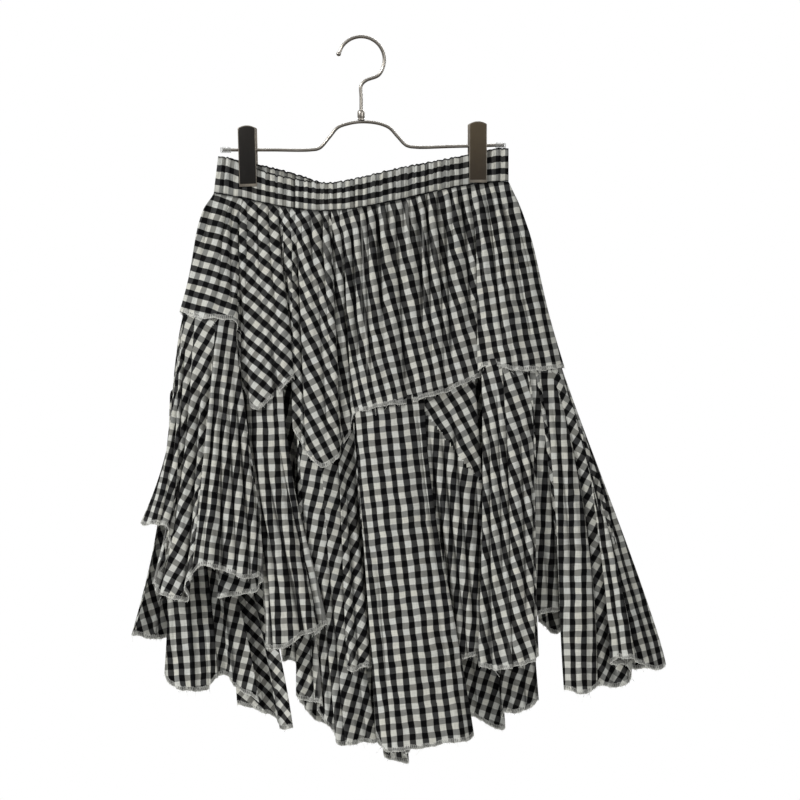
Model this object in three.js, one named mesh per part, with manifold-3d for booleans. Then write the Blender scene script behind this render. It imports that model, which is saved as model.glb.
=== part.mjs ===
// A tiered ruffle skirt of black and white gingham cotton, hung by its waistband from a wire clip hanger.
// Millimetres, +Z up. The origin is the point inside the top of the hanger's hook where a rail carries it.
// The skirt's front faces -Y. Its tables give x to the right of the middle, drop below the waist line, and
// out, which is how far a point of the cloth stands out of the flat middle plane, to the front or to the back.
import * as THREE from "three";
import { mergeVertices } from "three/addons/utils/BufferGeometryUtils.js";
import Module from "manifold-3d";

const wasm = await Module();
wasm.setup();

// Driving sizes
const CLOTH = 1.2; // wall of the cloth
const SEAM_GAP = 0.3; // between pieces that meet at a seam
const LAP_INSET = 2.0; // middle of a lower tier's wall behind the middle of the tier that laps over it
const LAYER_STEP = 1.7; // further in, for each layer of lower pieces that cross at their seam
const LAP_START = 0.962; // a lower tier starts at this share of the upper tier's length
const WAIST_HALF = 162.5; // half the waist as it hangs
const WAIST_BOW = 14; // how far the band bows out between the clips
const WAIST_PINCH = 2.6; // half depth of the band where it is pinched
const BAND_LEAN = 5; // the band's top corner leans in this much at its left end
const CLIP_X = 127; // where the band is gripped, left and right of the middle
const BAND_PUCKER = 1.2; // elastic puckers of the band
const BAND_PUCKERS = 28;
const PUCKER_COLUMNS = 3; // columns of the band's wall for each pucker
const BAND_SIDE_EASE = 10; // the puckers fade this close to the side folds
const CLIP_EASE = 8; // and this close to a clip
const GATHER_DEPTH = 4.2; // gathers under the band
const GATHER_PITCH = 13;
const GATHER_DRIFT = 0.9; // how far the pitch wanders, as an angle of the wave
const GATHER_DRIFT_LENGTH = 17;
const GATHER_RISE = 7; // the gathers reach their depth over this drop, and fade over the next
const GATHER_FADE = 75;
const HIP_BULGE = 6; // the sides swell this much below the band

const HOOK_WIRE = 1.9; // radius of the hook's wire
const HOOK_RADIUS = 25.6; // centreline of the hook's bend
const BAR_WIRE = 1.8; // radius of the bar's wire
const WAIST_Z = -156.2; // the waist line, below the inside top of the hook

const FRONT = -1;
const BACK = 1;

// The waistband's edges: its top edge and its lower seam, front and back.
const band = [
  { x: -163, top: -26, seam: 14.5, backTop: -26, backSeam: 14.5 },
  { x: -148, top: -24, seam: 17, backTop: -24, backSeam: 17 },
  { x: -133, top: -19, seam: 20, backTop: -20.5, backSeam: 18 },
  { x: -100, top: -7, seam: 27, backTop: -14, backSeam: 22 },
  { x: -66, top: 0.5, seam: 33, backTop: -5, backSeam: 28 },
  { x: -35, top: 4, seam: 34.5, backTop: 4.5, backSeam: 34 },
  { x: 0, top: -2, seam: 31, backTop: 1, backSeam: 33 },
  { x: 45, top: -13, seam: 22, backTop: -9, backSeam: 24 },
  { x: 90, top: -22, seam: 11, backTop: -19, backSeam: 13 },
  { x: 127, top: -29.5, seam: 4.5, backTop: -29, backSeam: 5 },
  { x: 148, top: -34.3, seam: 2.5, backTop: -34.2, backSeam: 2.5 },
  { x: 163, top: -34.7, seam: 1.5, backTop: -34.7, backSeam: 1.5 },
];

// Upper tiers: for each fold, where it leaves the waist seam and where it ends at the tier's hem.
const upperFront = [
  { seam: -162.5, x: -199, drop: 146, out: 0.2 },
  { seam: -161.5, x: -198, drop: 147, out: 8 },
  { seam: -152, x: -181, drop: 152, out: 18 },
  { seam: -141, x: -152, drop: 155, out: 22 },
  { seam: -136, x: -138, drop: 158, out: 17 },
  { seam: -133.5, x: -135, drop: 188, out: 10 },
  { seam: -130, x: -130, drop: 228, out: 13 },
  { seam: -121, x: -115, drop: 254, out: 23 },
  { seam: -108, x: -95, drop: 239, out: 27 },
  { seam: -94, x: -74, drop: 220, out: 21 },
  { seam: -88, x: -69, drop: 238, out: 12 },
  { seam: -84, x: -73, drop: 266, out: 18 },
  { seam: -74, x: -63, drop: 297, out: 26 },
  { seam: -57, x: -43, drop: 316, out: 29 },
  { seam: -40, x: -25, drop: 307, out: 25 },
  { seam: -29, x: -17, drop: 288, out: 16 },
  { seam: -21, x: -11, drop: 274, out: 12 },
  { seam: -15, x: -8, drop: 258, out: 20 },
  { seam: -4, x: 6, drop: 254, out: 28 },
  { seam: 24, x: 33, drop: 249, out: 30 },
  { seam: 60, x: 66, drop: 243, out: 28 },
  { seam: 92, x: 101, drop: 231, out: 25 },
  { seam: 112, x: 127, drop: 219, out: 20 },
  { seam: 119, x: 131, drop: 214, out: 12 },
  { seam: 123, x: 130, drop: 210, out: 20 },
  { seam: 131, x: 146, drop: 205, out: 27 },
  { seam: 143, x: 175, drop: 212, out: 27 },
  { seam: 154, x: 207, drop: 209, out: 19 },
  { seam: 161.5, x: 221.5, drop: 208, out: 8 },
  { seam: 162.5, x: 223, drop: 208, out: 0.2 },
];

const upperBack = [
  { seam: -162.5, x: -199, drop: 146, out: 0.2 },
  { seam: -161, x: -198, drop: 149, out: 8 },
  { seam: -140, x: -170, drop: 175, out: 23 },
  { seam: -120, x: -140, drop: 205, out: 15 },
  { seam: -95, x: -108, drop: 225, out: 25 },
  { seam: -70, x: -76, drop: 232, out: 16 },
  { seam: -45, x: -42, drop: 240, out: 26 },
  { seam: -18, x: -8, drop: 238, out: 17 },
  { seam: 8, x: 24, drop: 242, out: 27 },
  { seam: 36, x: 56, drop: 236, out: 17 },
  { seam: 62, x: 90, drop: 232, out: 26 },
  { seam: 88, x: 122, drop: 224, out: 16 },
  { seam: 114, x: 156, drop: 216, out: 25 },
  { seam: 140, x: 190, drop: 210, out: 17 },
  { seam: 156, x: 214, drop: 207, out: 12 },
  { seam: 161.5, x: 221.5, drop: 207, out: 6 },
  { seam: 162.5, x: 223, drop: 208, out: 0.2 },
];

// Lower pieces hang from the upper tier's hem. Here seam counts the upper tier's folds from its left side, and
// layer says how deep in the lapped seam the piece's top edge lies, layerRight how deep at its right end where that
// differs, and flare how much later than its drop a fold swings sideways, or sooner where it is below 0.
const lowerFront = {
  flounce_left: {
    layer: 0,
    rows: [
      { seam: 0, x: -243, drop: 378, out: 0.2, flare: 1.4 },
      { seam: 0.4, x: -242, drop: 380, out: 9, flare: 1.4 },
      { seam: 1, x: -228, drop: 381, out: 17, flare: 1.3 },
      { seam: 1.3, x: -214, drop: 382, out: 19, flare: 1.2 },
      { seam: 1.5, x: -209, drop: 402, out: 13, flare: 1.1 },
      { seam: 1.75, x: -227, drop: 453, out: 9, flare: 1.0 },
      { seam: 2.1, x: -210, drop: 460, out: 14, flare: 0.8 },
      { seam: 2.4, x: -193, drop: 465, out: 17, flare: 0.6 },
      { seam: 2.6, x: -192, drop: 449, out: 26, flare: 0.4 },
      { seam: 2.75, x: -186, drop: 434, out: 35, flare: 0.2 },
      { seam: 3, x: -173, drop: 424, out: 40, flare: 0 },
      { seam: 3.3, x: -149, drop: 431, out: 40, flare: -0.3 },
      { seam: 3.6, x: -126, drop: 438, out: 38, flare: -0.7 },
      { seam: 3.85, x: -109, drop: 438, out: 32, flare: -1 },
      { seam: 4, x: -111, drop: 450, out: 23, flare: -0.9 },
      { seam: 4.2, x: -132, drop: 458, out: 19, flare: -0.3 },
      { seam: 4.4, x: -158, drop: 460, out: 17, flare: 0.4 },
    ],
  },
  flounce_mid_left: {
    layer: 1,
    rows: [
      { seam: 4.5, x: -106, drop: 504, out: 14, flare: -1 },
      { seam: 4.9, x: -105, drop: 511, out: 16, flare: -0.9 },
      { seam: 5.2, x: -102.5, drop: 517, out: 23, flare: -0.8 },
      { seam: 5.6, x: -96, drop: 516, out: 31, flare: -0.5 },
      { seam: 6.4, x: -78, drop: 512, out: 35 },
      { seam: 7.2, x: -61, drop: 500, out: 36 },
      { seam: 7.8, x: -46, drop: 494, out: 33 },
      { seam: 8.1, x: -40, drop: 491, out: 25 },
      { seam: 8.4, x: -50, drop: 502, out: 18 },
    ],
  },
  flounce_inner: {
    layer: 0,
    layerRight: 2,
    rows: [
      { seam: 10.5, x: -56, drop: 520, out: 7 },
      { seam: 10.75, x: -67, drop: 547, out: 8 },
      { seam: 11, x: -70, drop: 569, out: 11 },
      { seam: 11.25, x: -58, drop: 575, out: 13 },
      { seam: 11.5, x: -46, drop: 578, out: 11 },
      { seam: 11.8, x: -47, drop: 586, out: 8 },
      { seam: 12.2, x: -31, drop: 609, out: 10 },
      { seam: 12.7, x: -25, drop: 621, out: 13 },
      { seam: 13.2, x: -12, drop: 623, out: 14 },
      { seam: 13.8, x: 4, drop: 621, out: 11 },
      { seam: 14.3, x: 17, drop: 620, out: 8 },
    ],
  },
  godet_centre_left: {
    layer: 0,
    rows: [
      { seam: 14.1, x: -16, drop: 539, out: 26 },
      { seam: 14.8, x: -9, drop: 540, out: 31 },
      { seam: 15.5, x: 4, drop: 537, out: 28 },
      { seam: 16.1, x: 17, drop: 535, out: 19 },
      { seam: 16.6, x: 24, drop: 532, out: 14 },
    ],
  },
  panel_centre: {
    layer: 0,
    rows: [
      { seam: 17.1, x: 21, drop: 600, out: 28 },
      { seam: 17.3, x: 18, drop: 615, out: 37 },
      { seam: 17.6, x: 27, drop: 626, out: 42 },
      { seam: 18.1, x: 45, drop: 627, out: 44 },
      { seam: 18.8, x: 67, drop: 623, out: 45 },
      { seam: 19.4, x: 92, drop: 619, out: 43 },
      { seam: 19.8, x: 115, drop: 616, out: 38 },
      { seam: 20, x: 124, drop: 611, out: 30 },
      { seam: 20.1, x: 116, drop: 606, out: 23 },
    ],
  },
  godet_centre_right: {
    layer: 1,
    rows: [
      { seam: 19.7, x: 84, drop: 505, out: 13 },
      { seam: 20, x: 98, drop: 520, out: 16 },
      { seam: 20.35, x: 109, drop: 526, out: 23 },
      { seam: 20.7, x: 120, drop: 525, out: 27 },
      { seam: 21, x: 129, drop: 523, out: 25 },
      { seam: 21.5, x: 138, drop: 522, out: 19 },
      { seam: 22, x: 148, drop: 520, out: 14 },
    ],
  },
  flounce_right: {
    layer: 0,
    rows: [
      { seam: 24.15, x: 133, drop: 528, out: 24 },
      { seam: 24.3, x: 133, drop: 535, out: 32 },
      { seam: 24.6, x: 143, drop: 538, out: 38 },
      { seam: 25.1, x: 158, drop: 537, out: 40 },
      { seam: 25.6, x: 175, drop: 534, out: 40 },
      { seam: 26, x: 190, drop: 528, out: 35 },
      { seam: 26.2, x: 196, drop: 524, out: 26 },
      { seam: 26.3, x: 187, drop: 529, out: 20 },
    ],
  },
  flounce_right_inner: {
    layer: 1,
    rows: [
      { seam: 25.4, x: 176, drop: 494, out: 8 },
      { seam: 25.7, x: 187, drop: 487, out: 11 },
      { seam: 26, x: 198, drop: 478, out: 14 },
      { seam: 26.35, x: 214, drop: 476, out: 16 },
      { seam: 26.6, x: 228, drop: 474, out: 15 },
      { seam: 26.75, x: 233, drop: 474, out: 12 },
      { seam: 26.85, x: 224, drop: 483, out: 8 },
    ],
  },
  flounce_side_right: {
    layer: 0,
    rows: [
      { seam: 26.6, x: 226, drop: 548, out: 20 },
      { seam: 26.68, x: 223, drop: 559, out: 25 },
      { seam: 26.76, x: 231, drop: 563, out: 32 },
      { seam: 26.85, x: 245, drop: 565, out: 34 },
      { seam: 26.95, x: 256, drop: 560, out: 30 },
      { seam: 27.05, x: 261, drop: 558, out: 19 },
      { seam: 27.15, x: 277, drop: 559, out: 11 },
      { seam: 27.25, x: 291, drop: 557, out: 9 },
      { seam: 27.35, x: 298, drop: 548, out: 12 },
      { seam: 27.45, x: 285, drop: 534, out: 17 },
      { seam: 27.55, x: 269, drop: 534, out: 23 },
      { seam: 27.7, x: 277, drop: 527, out: 31 },
      { seam: 27.9, x: 295, drop: 526, out: 31, flare: -0.04 },
      { seam: 28.15, x: 310, drop: 535, out: 25, flare: -0.08 },
      { seam: 28.4, x: 325, drop: 540, out: 16, flare: -0.12 },
      { seam: 28.7, x: 334, drop: 537, out: 7, flare: -0.15 },
      { seam: 29, x: 335.5, drop: 536, out: 0.2, flare: -0.15 },
    ],
  },
};

const lowerBack = {
  back_flounce_left: {
    layer: 0,
    rows: [
      { seam: 0, x: -252, drop: 502, out: 0.2, flare: 0.9 },
      { seam: 0.3, x: -250, drop: 505, out: 10, flare: 0.9 },
      { seam: 0.6, x: -230, drop: 508, out: 22, flare: 0.7 },
      { seam: 0.85, x: -208, drop: 508, out: 27, flare: 0.5 },
      { seam: 1, x: -202, drop: 523, out: 20, flare: 0.4 },
      { seam: 1.15, x: -218, drop: 550, out: 14, flare: 0.3 },
      { seam: 1.35, x: -202, drop: 563, out: 11, flare: 0.1 },
      { seam: 1.55, x: -172, drop: 565, out: 14 },
      { seam: 1.65, x: -164, drop: 554, out: 18 },
      { seam: 1.75, x: -153, drop: 549, out: 21 },
      { seam: 1.85, x: -137, drop: 562, out: 17 },
      { seam: 1.95, x: -113, drop: 578, out: 12 },
    ],
  },
  back_flounce_corner: {
    layer: 0,
    rows: [
      { seam: 2.3, x: -138, drop: 583, out: 30 },
      { seam: 2.5, x: -116, drop: 588, out: 33 },
      { seam: 2.7, x: -96, drop: 597, out: 29 },
      { seam: 2.9, x: -88, drop: 608, out: 22 },
      { seam: 3.2, x: -75, drop: 606, out: 15 },
    ],
  },
  back_panel_centre: {
    layer: 0,
    rows: [
      { seam: 3.3, x: -88, drop: 532, out: 15 },
      { seam: 4, x: -80, drop: 532, out: 21 },
      { seam: 4.6, x: -72, drop: 536, out: 25 },
      { seam: 4.8, x: -70, drop: 566, out: 26 },
      { seam: 5.3, x: -57, drop: 592, out: 20 },
      { seam: 5.9, x: -32, drop: 607, out: 27 },
      { seam: 6.5, x: -4, drop: 613, out: 18 },
      { seam: 6.95, x: 19, drop: 624, out: 24 },
      { seam: 7.2, x: 25, drop: 641, out: 29 },
      { seam: 7.6, x: 38, drop: 645, out: 30 },
      { seam: 7.9, x: 50, drop: 646, out: 25 },
      { seam: 8.1, x: 55, drop: 629, out: 20 },
      { seam: 8.6, x: 80, drop: 622, out: 26 },
      { seam: 9.2, x: 106, drop: 610, out: 17 },
    ],
  },
  back_flounce_right: {
    layer: 0,
    rows: [
      { seam: 9.3, x: 98, drop: 584, out: 9 },
      { seam: 9.7, x: 112, drop: 592, out: 14 },
      { seam: 10.2, x: 126, drop: 595, out: 21 },
      { seam: 10.7, x: 141, drop: 605, out: 24 },
      { seam: 11.1, x: 157, drop: 609, out: 21 },
      { seam: 11.25, x: 161, drop: 600, out: 15 },
      { seam: 11.4, x: 156, drop: 591, out: 9 },
      { seam: 11.65, x: 167, drop: 590, out: 10 },
      { seam: 11.9, x: 182, drop: 586, out: 12 },
      { seam: 12.1, x: 193, drop: 580, out: 16 },
      { seam: 12.25, x: 190, drop: 570, out: 22 },
      { seam: 12.4, x: 183, drop: 556, out: 21 },
    ],
  },
  back_flounce_side_right: {
    layer: 0,
    rows: [
      { seam: 12.75, x: 196, drop: 490, out: 30 },
      { seam: 12.95, x: 203, drop: 495, out: 24 },
      { seam: 13.2, x: 209, drop: 500, out: 17 },
      { seam: 13.5, x: 217, drop: 502, out: 14 },
      { seam: 13.7, x: 222, drop: 496, out: 18 },
      { seam: 13.85, x: 229, drop: 500, out: 24 },
      { seam: 14.2, x: 250, drop: 527, out: 27 },
      { seam: 14.6, x: 275, drop: 542, out: 18 },
      { seam: 15, x: 300, drop: 543, out: 25, flare: -0.05 },
      { seam: 15.4, x: 322, drop: 540, out: 18, flare: -0.12 },
      { seam: 15.8, x: 334, drop: 537, out: 7, flare: -0.15 },
      { seam: 16, x: 335.5, drop: 536, out: 0.2, flare: -0.15 },
    ],
  },
};

// Where the rows of an upper tier and of a lower piece lie, as shares of its length.
const UPPER_LEVELS = [0, 0.05, 0.15, 0.32, 0.55, 0.78, 1];
const LOWER_LEVELS = [0, 0.1, 0.3, 0.52, 0.76, 1];
const UPPER_COLUMN = 3.6; // widest column of an upper tier at the waist seam
const LOWER_STEPS = 2; // columns for each row of a lower piece's table

const point = (x, y, z) => new THREE.Vector3(x, y, z);
const mix = (a, b, t) => a + (b - a) * t;

// A smooth value between the rows of a table whose rows rise in their `at` column.
function reading(table, at, key) {
  return (where) => {
    const last = table.length - 1;
    let i = 0;
    while (i < last - 1 && where > table[i + 1][at]) i += 1;
    const rise = (k) => {
      const a = table[Math.max(k - 1, 0)];
      const b = table[Math.min(k + 1, last)];
      return (b[key] - a[key]) / (b[at] - a[at]);
    };
    const [a, b] = [table[i], table[i + 1]];
    const span = b[at] - a[at];
    const t = Math.min(Math.max((where - a[at]) / span, 0), 1);
    const [t2, t3] = [t * t, t * t * t];
    return (
      (2 * t3 - 3 * t2 + 1) * a[key] + (t3 - 2 * t2 + t) * span * rise(i) +
      (3 * t2 - 2 * t3) * b[key] + (t3 - t2) * span * rise(i + 1)
    );
  };
}

// A smooth curve through points, counted by the points from 0.
function curveThrough(points) {
  const curve = new THREE.CatmullRomCurve3(points, false, "centripetal");
  const last = points.length - 1;
  return (u) => curve.getPoint(Math.min(Math.max(u / last, 0), 1));
}

// How far the waist ring stands out at x: flat at the clips, bowed between them, round at its two sides.
function waistOut(x) {
  const roundness = Math.sqrt(Math.max(0, 1 - (x / WAIST_HALF) ** 2));
  const between = Math.abs(x) < CLIP_X ? Math.cos((Math.PI * x) / (2 * CLIP_X)) ** 2 : 0;
  return (WAIST_PINCH + WAIST_BOW * between) * roundness + SEAM_GAP / 2;
}

// 0 where a clip grips the band, and 1 away from it.
function clearOfClips(x) {
  const beside = Math.max(0, Math.abs(Math.abs(x) - CLIP_X) - CLIP_WIDTH / 2 - 1);
  return 1 - Math.exp(-((beside / CLIP_EASE) ** 2));
}

// A closed wall of even thickness about a grid of points, grid[column][row]. It stays on its own side of the
// middle plane, where the front and the back meet.
function wallAbout(grid, thickness, side) {
  const columns = grid.length;
  const rows = grid[0].length;
  const index = (i, j, inner) => (i * rows + j) * 2 + inner;
  const positions = [];
  for (let i = 0; i < columns; i += 1) {
    for (let j = 0; j < rows; j += 1) {
      const across = grid[Math.min(i + 1, columns - 1)][j].clone().sub(grid[Math.max(i - 1, 0)][j]);
      const down = grid[i][Math.min(j + 1, rows - 1)].clone().sub(grid[i][Math.max(j - 1, 0)]);
      const normal = across.cross(down).setLength(thickness / 2);
      for (const face of [grid[i][j].clone().add(normal), grid[i][j].clone().sub(normal)]) {
        positions.push(face.x, side * Math.max(side * face.y, SEAM_GAP / 2), face.z);
      }
    }
  }
  const faces = [];
  const quad = (a, b, c, d) => faces.push(a, b, c, a, c, d);
  for (let i = 0; i < columns - 1; i += 1) {
    for (let j = 0; j < rows - 1; j += 1) {
      quad(index(i, j, 0), index(i + 1, j, 0), index(i + 1, j + 1, 0), index(i, j + 1, 0));
      quad(index(i, j, 1), index(i, j + 1, 1), index(i + 1, j + 1, 1), index(i + 1, j, 1));
    }
    const j = rows - 1;
    quad(index(i + 1, 0, 0), index(i, 0, 0), index(i, 0, 1), index(i + 1, 0, 1));
    quad(index(i, j, 0), index(i + 1, j, 0), index(i + 1, j, 1), index(i, j, 1));
  }
  for (let j = 0; j < rows - 1; j += 1) {
    const i = columns - 1;
    quad(index(0, j, 0), index(0, j + 1, 0), index(0, j + 1, 1), index(0, j, 1));
    quad(index(i, j + 1, 0), index(i, j, 0), index(i, j, 1), index(i, j + 1, 1));
  }
  const geometry = new THREE.BufferGeometry();
  geometry.setAttribute("position", new THREE.Float32BufferAttribute(positions, 3));
  geometry.setIndex(faces);
  geometry.computeVertexNormals();
  return geometry;
}

// One half of the waistband, puckered by its elastic.
function bandGeometry(side) {
  const back = side === BACK;
  const topAt = reading(band, "x", back ? "backTop" : "top");
  const seamAt = reading(band, "x", back ? "backSeam" : "seam");
  const columns = BAND_PUCKERS * PUCKER_COLUMNS;
  const grid = [];
  for (let i = 0; i <= columns; i += 1) {
    const x = mix(-WAIST_HALF, WAIST_HALF, i / columns);
    const pucker = BAND_PUCKER * (0.5 + 0.5 * Math.cos((2 * Math.PI * i) / PUCKER_COLUMNS)) * clearOfClips(x);
    const edge = Math.min(1, (WAIST_HALF - Math.abs(x)) / BAND_SIDE_EASE);
    const lean = BAND_LEAN * Math.max(0, -x / WAIST_HALF) ** 6;
    grid.push([0, 0.5, 1].map((t) => {
      const out = waistOut(x) + pucker * edge * (t === 0.5 ? 0.5 : 1);
      return point(x + lean * (1 - t), side * out, WAIST_Z - mix(topAt(x), seamAt(x), t));
    }));
  }
  return wallAbout(grid, CLOTH, side);
}

// The surface of an upper tier: fold counts its table's rows, and t runs from the waist seam to the hem.
function upperSurface(rows, side) {
  const seamAt = reading(band, "x", side === BACK ? "backSeam" : "seam");
  const start = curveThrough(rows.map((r) => point(r.seam, 0, 0)));
  const hem = curveThrough(rows.map((r) => point(r.x, side * r.out, WAIST_Z - r.drop)));
  return (fold, t) => {
    const seamX = start(fold).x;
    const end = hem(fold);
    const top = WAIST_Z - seamAt(seamX) - SEAM_GAP;
    const below = (top - end.z) * t;
    const sideShare = (seamX / WAIST_HALF) ** 3;
    const swell = HIP_BULGE * sideShare * Math.sin(Math.PI * (1 - t) ** 2);
    const drift = GATHER_DRIFT * Math.sin(seamX / GATHER_DRIFT_LENGTH);
    const wave = 0.5 + 0.5 * Math.cos((2 * Math.PI * seamX) / GATHER_PITCH + drift);
    const reach = (1 - Math.exp(-below / GATHER_RISE)) * Math.exp(-below / GATHER_FADE) * (1 - Math.abs(sideShare));
    const out = mix(waistOut(seamX), side * end.y, t) + GATHER_DEPTH * wave * reach;
    return point(mix(seamX, end.x, t) + swell, side * out, mix(top, end.z, t));
  };
}

// Columns of an upper tier: each fold, and enough between the folds to show the gathers.
function upperColumns(rows) {
  const columns = [0];
  for (let i = 1; i < rows.length; i += 1) {
    const steps = Math.max(2, Math.round((rows[i].seam - rows[i - 1].seam) / UPPER_COLUMN));
    for (let k = 1; k <= steps; k += 1) columns.push(i - 1 + k / steps);
  }
  return columns;
}

// The surface of a lower piece. It leaves the upper tier along that tier's own slope, just behind it, and swings
// out to its own hem.
function lowerSurface(piece, upper, side) {
  const start = curveThrough(piece.rows.map((r) => point(r.seam, r.flare ?? 0, 0)));
  const hem = curveThrough(piece.rows.map((r) => point(r.x, side * r.out, WAIST_Z - r.drop)));
  const last = piece.rows.length - 1;
  const nudge = 0.02;
  const from = (row) => {
    const { x: fold, y: flare } = start(row);
    const inset = LAP_INSET + LAYER_STEP * mix(piece.layer, piece.layerRight ?? piece.layer, row / last);
    const here = upper(fold, LAP_START);
    const across = upper(fold + nudge, LAP_START).sub(upper(fold - nudge, LAP_START));
    const down = upper(fold, 1).sub(here).normalize();
    const inward = across.cross(down).setLength(-side * inset);
    return { top: here.add(inward), down, flare };
  };
  return (row, t) => {
    const { top, down, flare } = from(row);
    const end = hem(row);
    const run = end.clone().sub(top);
    const leaving = down.multiplyScalar(run.length());
    const [t2, t3] = [t * t, t * t * t];
    const swing = run.x * ((flare < 0 ? 1 - (1 - t) ** (1 - flare) : t ** (1 + flare)) - t);
    const hung = top
      .multiplyScalar(2 * t3 - 3 * t2 + 1)
      .add(leaving.multiplyScalar(t3 - 2 * t2 + t))
      .add(end.multiplyScalar(3 * t2 - 2 * t3))
      .add(run.multiplyScalar(t3 - t2));
    hung.x += swing;
    return hung;
  };
}

const gridOf = (surface, columns, levels) => columns.map((fold) => levels.map((t) => surface(fold, t)));

function evenColumns(rows, steps) {
  return Array.from({ length: (rows.length - 1) * steps + 1 }, (_, i) => i / steps);
}

// A round wire along a curve.
function wire(path, radius, sides, steps) {
  const section = new THREE.Shape();
  for (let i = 0; i < sides; i += 1) {
    const angle = (2 * Math.PI * i) / sides;
    section[i ? "lineTo" : "moveTo"](radius * Math.cos(angle), radius * Math.sin(angle));
  }
  section.closePath();
  return new THREE.ExtrudeGeometry(section, { steps, bevelEnabled: false, extrudePath: path });
}

function solidOf(geometry) {
  const bare = geometry.index ? geometry.toNonIndexed() : geometry.clone();
  bare.deleteAttribute("normal");
  bare.deleteAttribute("uv");
  const merged = mergeVertices(bare, 1e-3);
  const mesh = new wasm.Mesh({
    numProp: 3,
    vertProperties: merged.attributes.position.array,
    triVerts: new Uint32Array(merged.index.array),
  });
  return new wasm.Manifold(mesh);
}

// Two closed geometries as one.
function join(a, b) {
  const mesh = solidOf(a).add(solidOf(b)).getMesh();
  const geometry = new THREE.BufferGeometry();
  geometry.setAttribute("position", new THREE.Float32BufferAttribute(mesh.vertProperties, 3));
  geometry.setIndex(new THREE.BufferAttribute(mesh.triVerts, 1));
  geometry.computeVertexNormals();
  return geometry;
}

// The hanger. Its bar is a wire with a raised middle; its hook stands in a ferrule on top of it.
const BAR_LEFT_END = 153.5; // ends of the bar's wire, left and right of the hook
const BAR_RIGHT_END = 158;
const BAR_LEFT_DROP = -33; // the bar hangs a little higher on the right
const BAR_RIGHT_DROP = -38.2;
const BAR_TOP_DROP = -64;
const FERRULE_RADIUS = 4.1;
const FERRULE_HEIGHT = 11;
const STEM_TOP_DROP = -104;
const HOOK_START_ANGLE = -42; // degrees round the bend, where it leaves the kinked stem
const HOOK_TIP_ANGLE = 165; // and where it ends
const HOOK_STEP = 23;
const KINK_REACH = 5; // the stem's kink towards the bend
const KINK_RISE = 5.5;
const HOOK_TIP_BALL = 2.7;
const HOOK_CENTRE_Z = HOOK_WIRE - HOOK_RADIUS;

// The clips hang on the bar, left and right; the left one tips a little, its jaw to the right.
const CLIP_LEFT_X = -125.8;
const CLIP_RIGHT_X = 129;
const CLIP_RIGHT_DROP = -37.5;
const CLIP_LEFT_TIP = 1.6; // degrees

function barPath() {
  const bend = [
    { x: -BAR_LEFT_END, drop: BAR_LEFT_DROP },
    { x: -100, drop: BAR_LEFT_DROP },
    { x: -56, drop: -33 },
    { x: -46, drop: -35 },
    { x: -35, drop: -47 },
    { x: -26, drop: -57.5 },
    { x: -14, drop: -62 },
    { x: 0, drop: BAR_TOP_DROP },
    { x: 18, drop: -62.5 },
    { x: 31, drop: -57.5 },
    { x: 40, drop: -48 },
    { x: 50, drop: -38 },
    { x: 60, drop: -36 },
    { x: 100, drop: -36.8 },
    { x: CLIP_RIGHT_X, drop: CLIP_RIGHT_DROP },
    { x: 147, drop: -38.1 },
    { x: BAR_RIGHT_END, drop: BAR_RIGHT_DROP },
  ];
  const points = bend.map((b) => point(b.x, 0, WAIST_Z - b.drop));
  return new THREE.CatmullRomCurve3(points, false, "centripetal");
}

function hookPath() {
  const points = [];
  const stemBottom = WAIST_Z - BAR_TOP_DROP + BAR_WIRE + SEAM_GAP + FERRULE_HEIGHT + SEAM_GAP;
  const stemTop = WAIST_Z - STEM_TOP_DROP;
  points.push(point(0, 0, stemBottom), point(0, 0, (stemBottom + stemTop) / 2), point(0, 0, stemTop));
  points.push(point(KINK_REACH, 0, stemTop + KINK_RISE));
  for (let degrees = HOOK_START_ANGLE; degrees <= HOOK_TIP_ANGLE; degrees += HOOK_STEP) {
    const angle = THREE.MathUtils.degToRad(degrees);
    points.push(point(HOOK_RADIUS * Math.cos(angle), 0, HOOK_CENTRE_Z + HOOK_RADIUS * Math.sin(angle)));
  }
  return new THREE.CatmullRomCurve3(points, false, "centripetal");
}

function hookGeometry() {
  const path = hookPath();
  const tip = path.getPoint(1);
  const ball = new THREE.SphereGeometry(HOOK_TIP_BALL, 12, 8).translate(tip.x, tip.y, tip.z);
  return join(wire(path, HOOK_WIRE, 8, 40), ball);
}

// A soft sleeve on the end of the bar: open towards the clip, closed outside.
const SLEEVE_LENGTH = 12;
const SLEEVE_RADIUS = 3.2;
const SLEEVE_CAP = 1.5; // thickness of its closed end
const SLEEVE_BEVEL = 0.6;

function sleeveGeometry(direction) {
  const bore = BAR_WIRE + SEAM_GAP;
  const profile = [
    [0, SLEEVE_LENGTH], [0, SLEEVE_LENGTH - SLEEVE_CAP], [bore, SLEEVE_LENGTH - SLEEVE_CAP], [bore, 0],
    [SLEEVE_RADIUS, 0], [SLEEVE_RADIUS, SLEEVE_LENGTH - SLEEVE_BEVEL],
    [SLEEVE_RADIUS - SLEEVE_BEVEL, SLEEVE_LENGTH],
    [0, SLEEVE_LENGTH],
  ].map(([r, y]) => new THREE.Vector2(r, y));
  return new THREE.LatheGeometry(profile, 12).rotateZ((-direction * Math.PI) / 2);
}

// A clip: two sprung plates, and the spring's barrel that the bar runs through.
const CLIP_WIDTH = 19.4;
const CLIP_HEIGHT = 67.5;
const CLIP_PLATE = 1.5;
const CLIP_CORNER = 1.2;
const CLIP_DOME = 2.8; // rise of the top edge between its corners
const CLIP_BELOW_BAR = 40.7; // from the bar down to the jaw's lower edge
const CLIP_BACK_SHIFT = 1.6; // the back plate sits this much nearer the middle
const CLIP_BARREL = 4.4; // outer radius
const CLIP_BARREL_LENGTH = 14;

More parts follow.
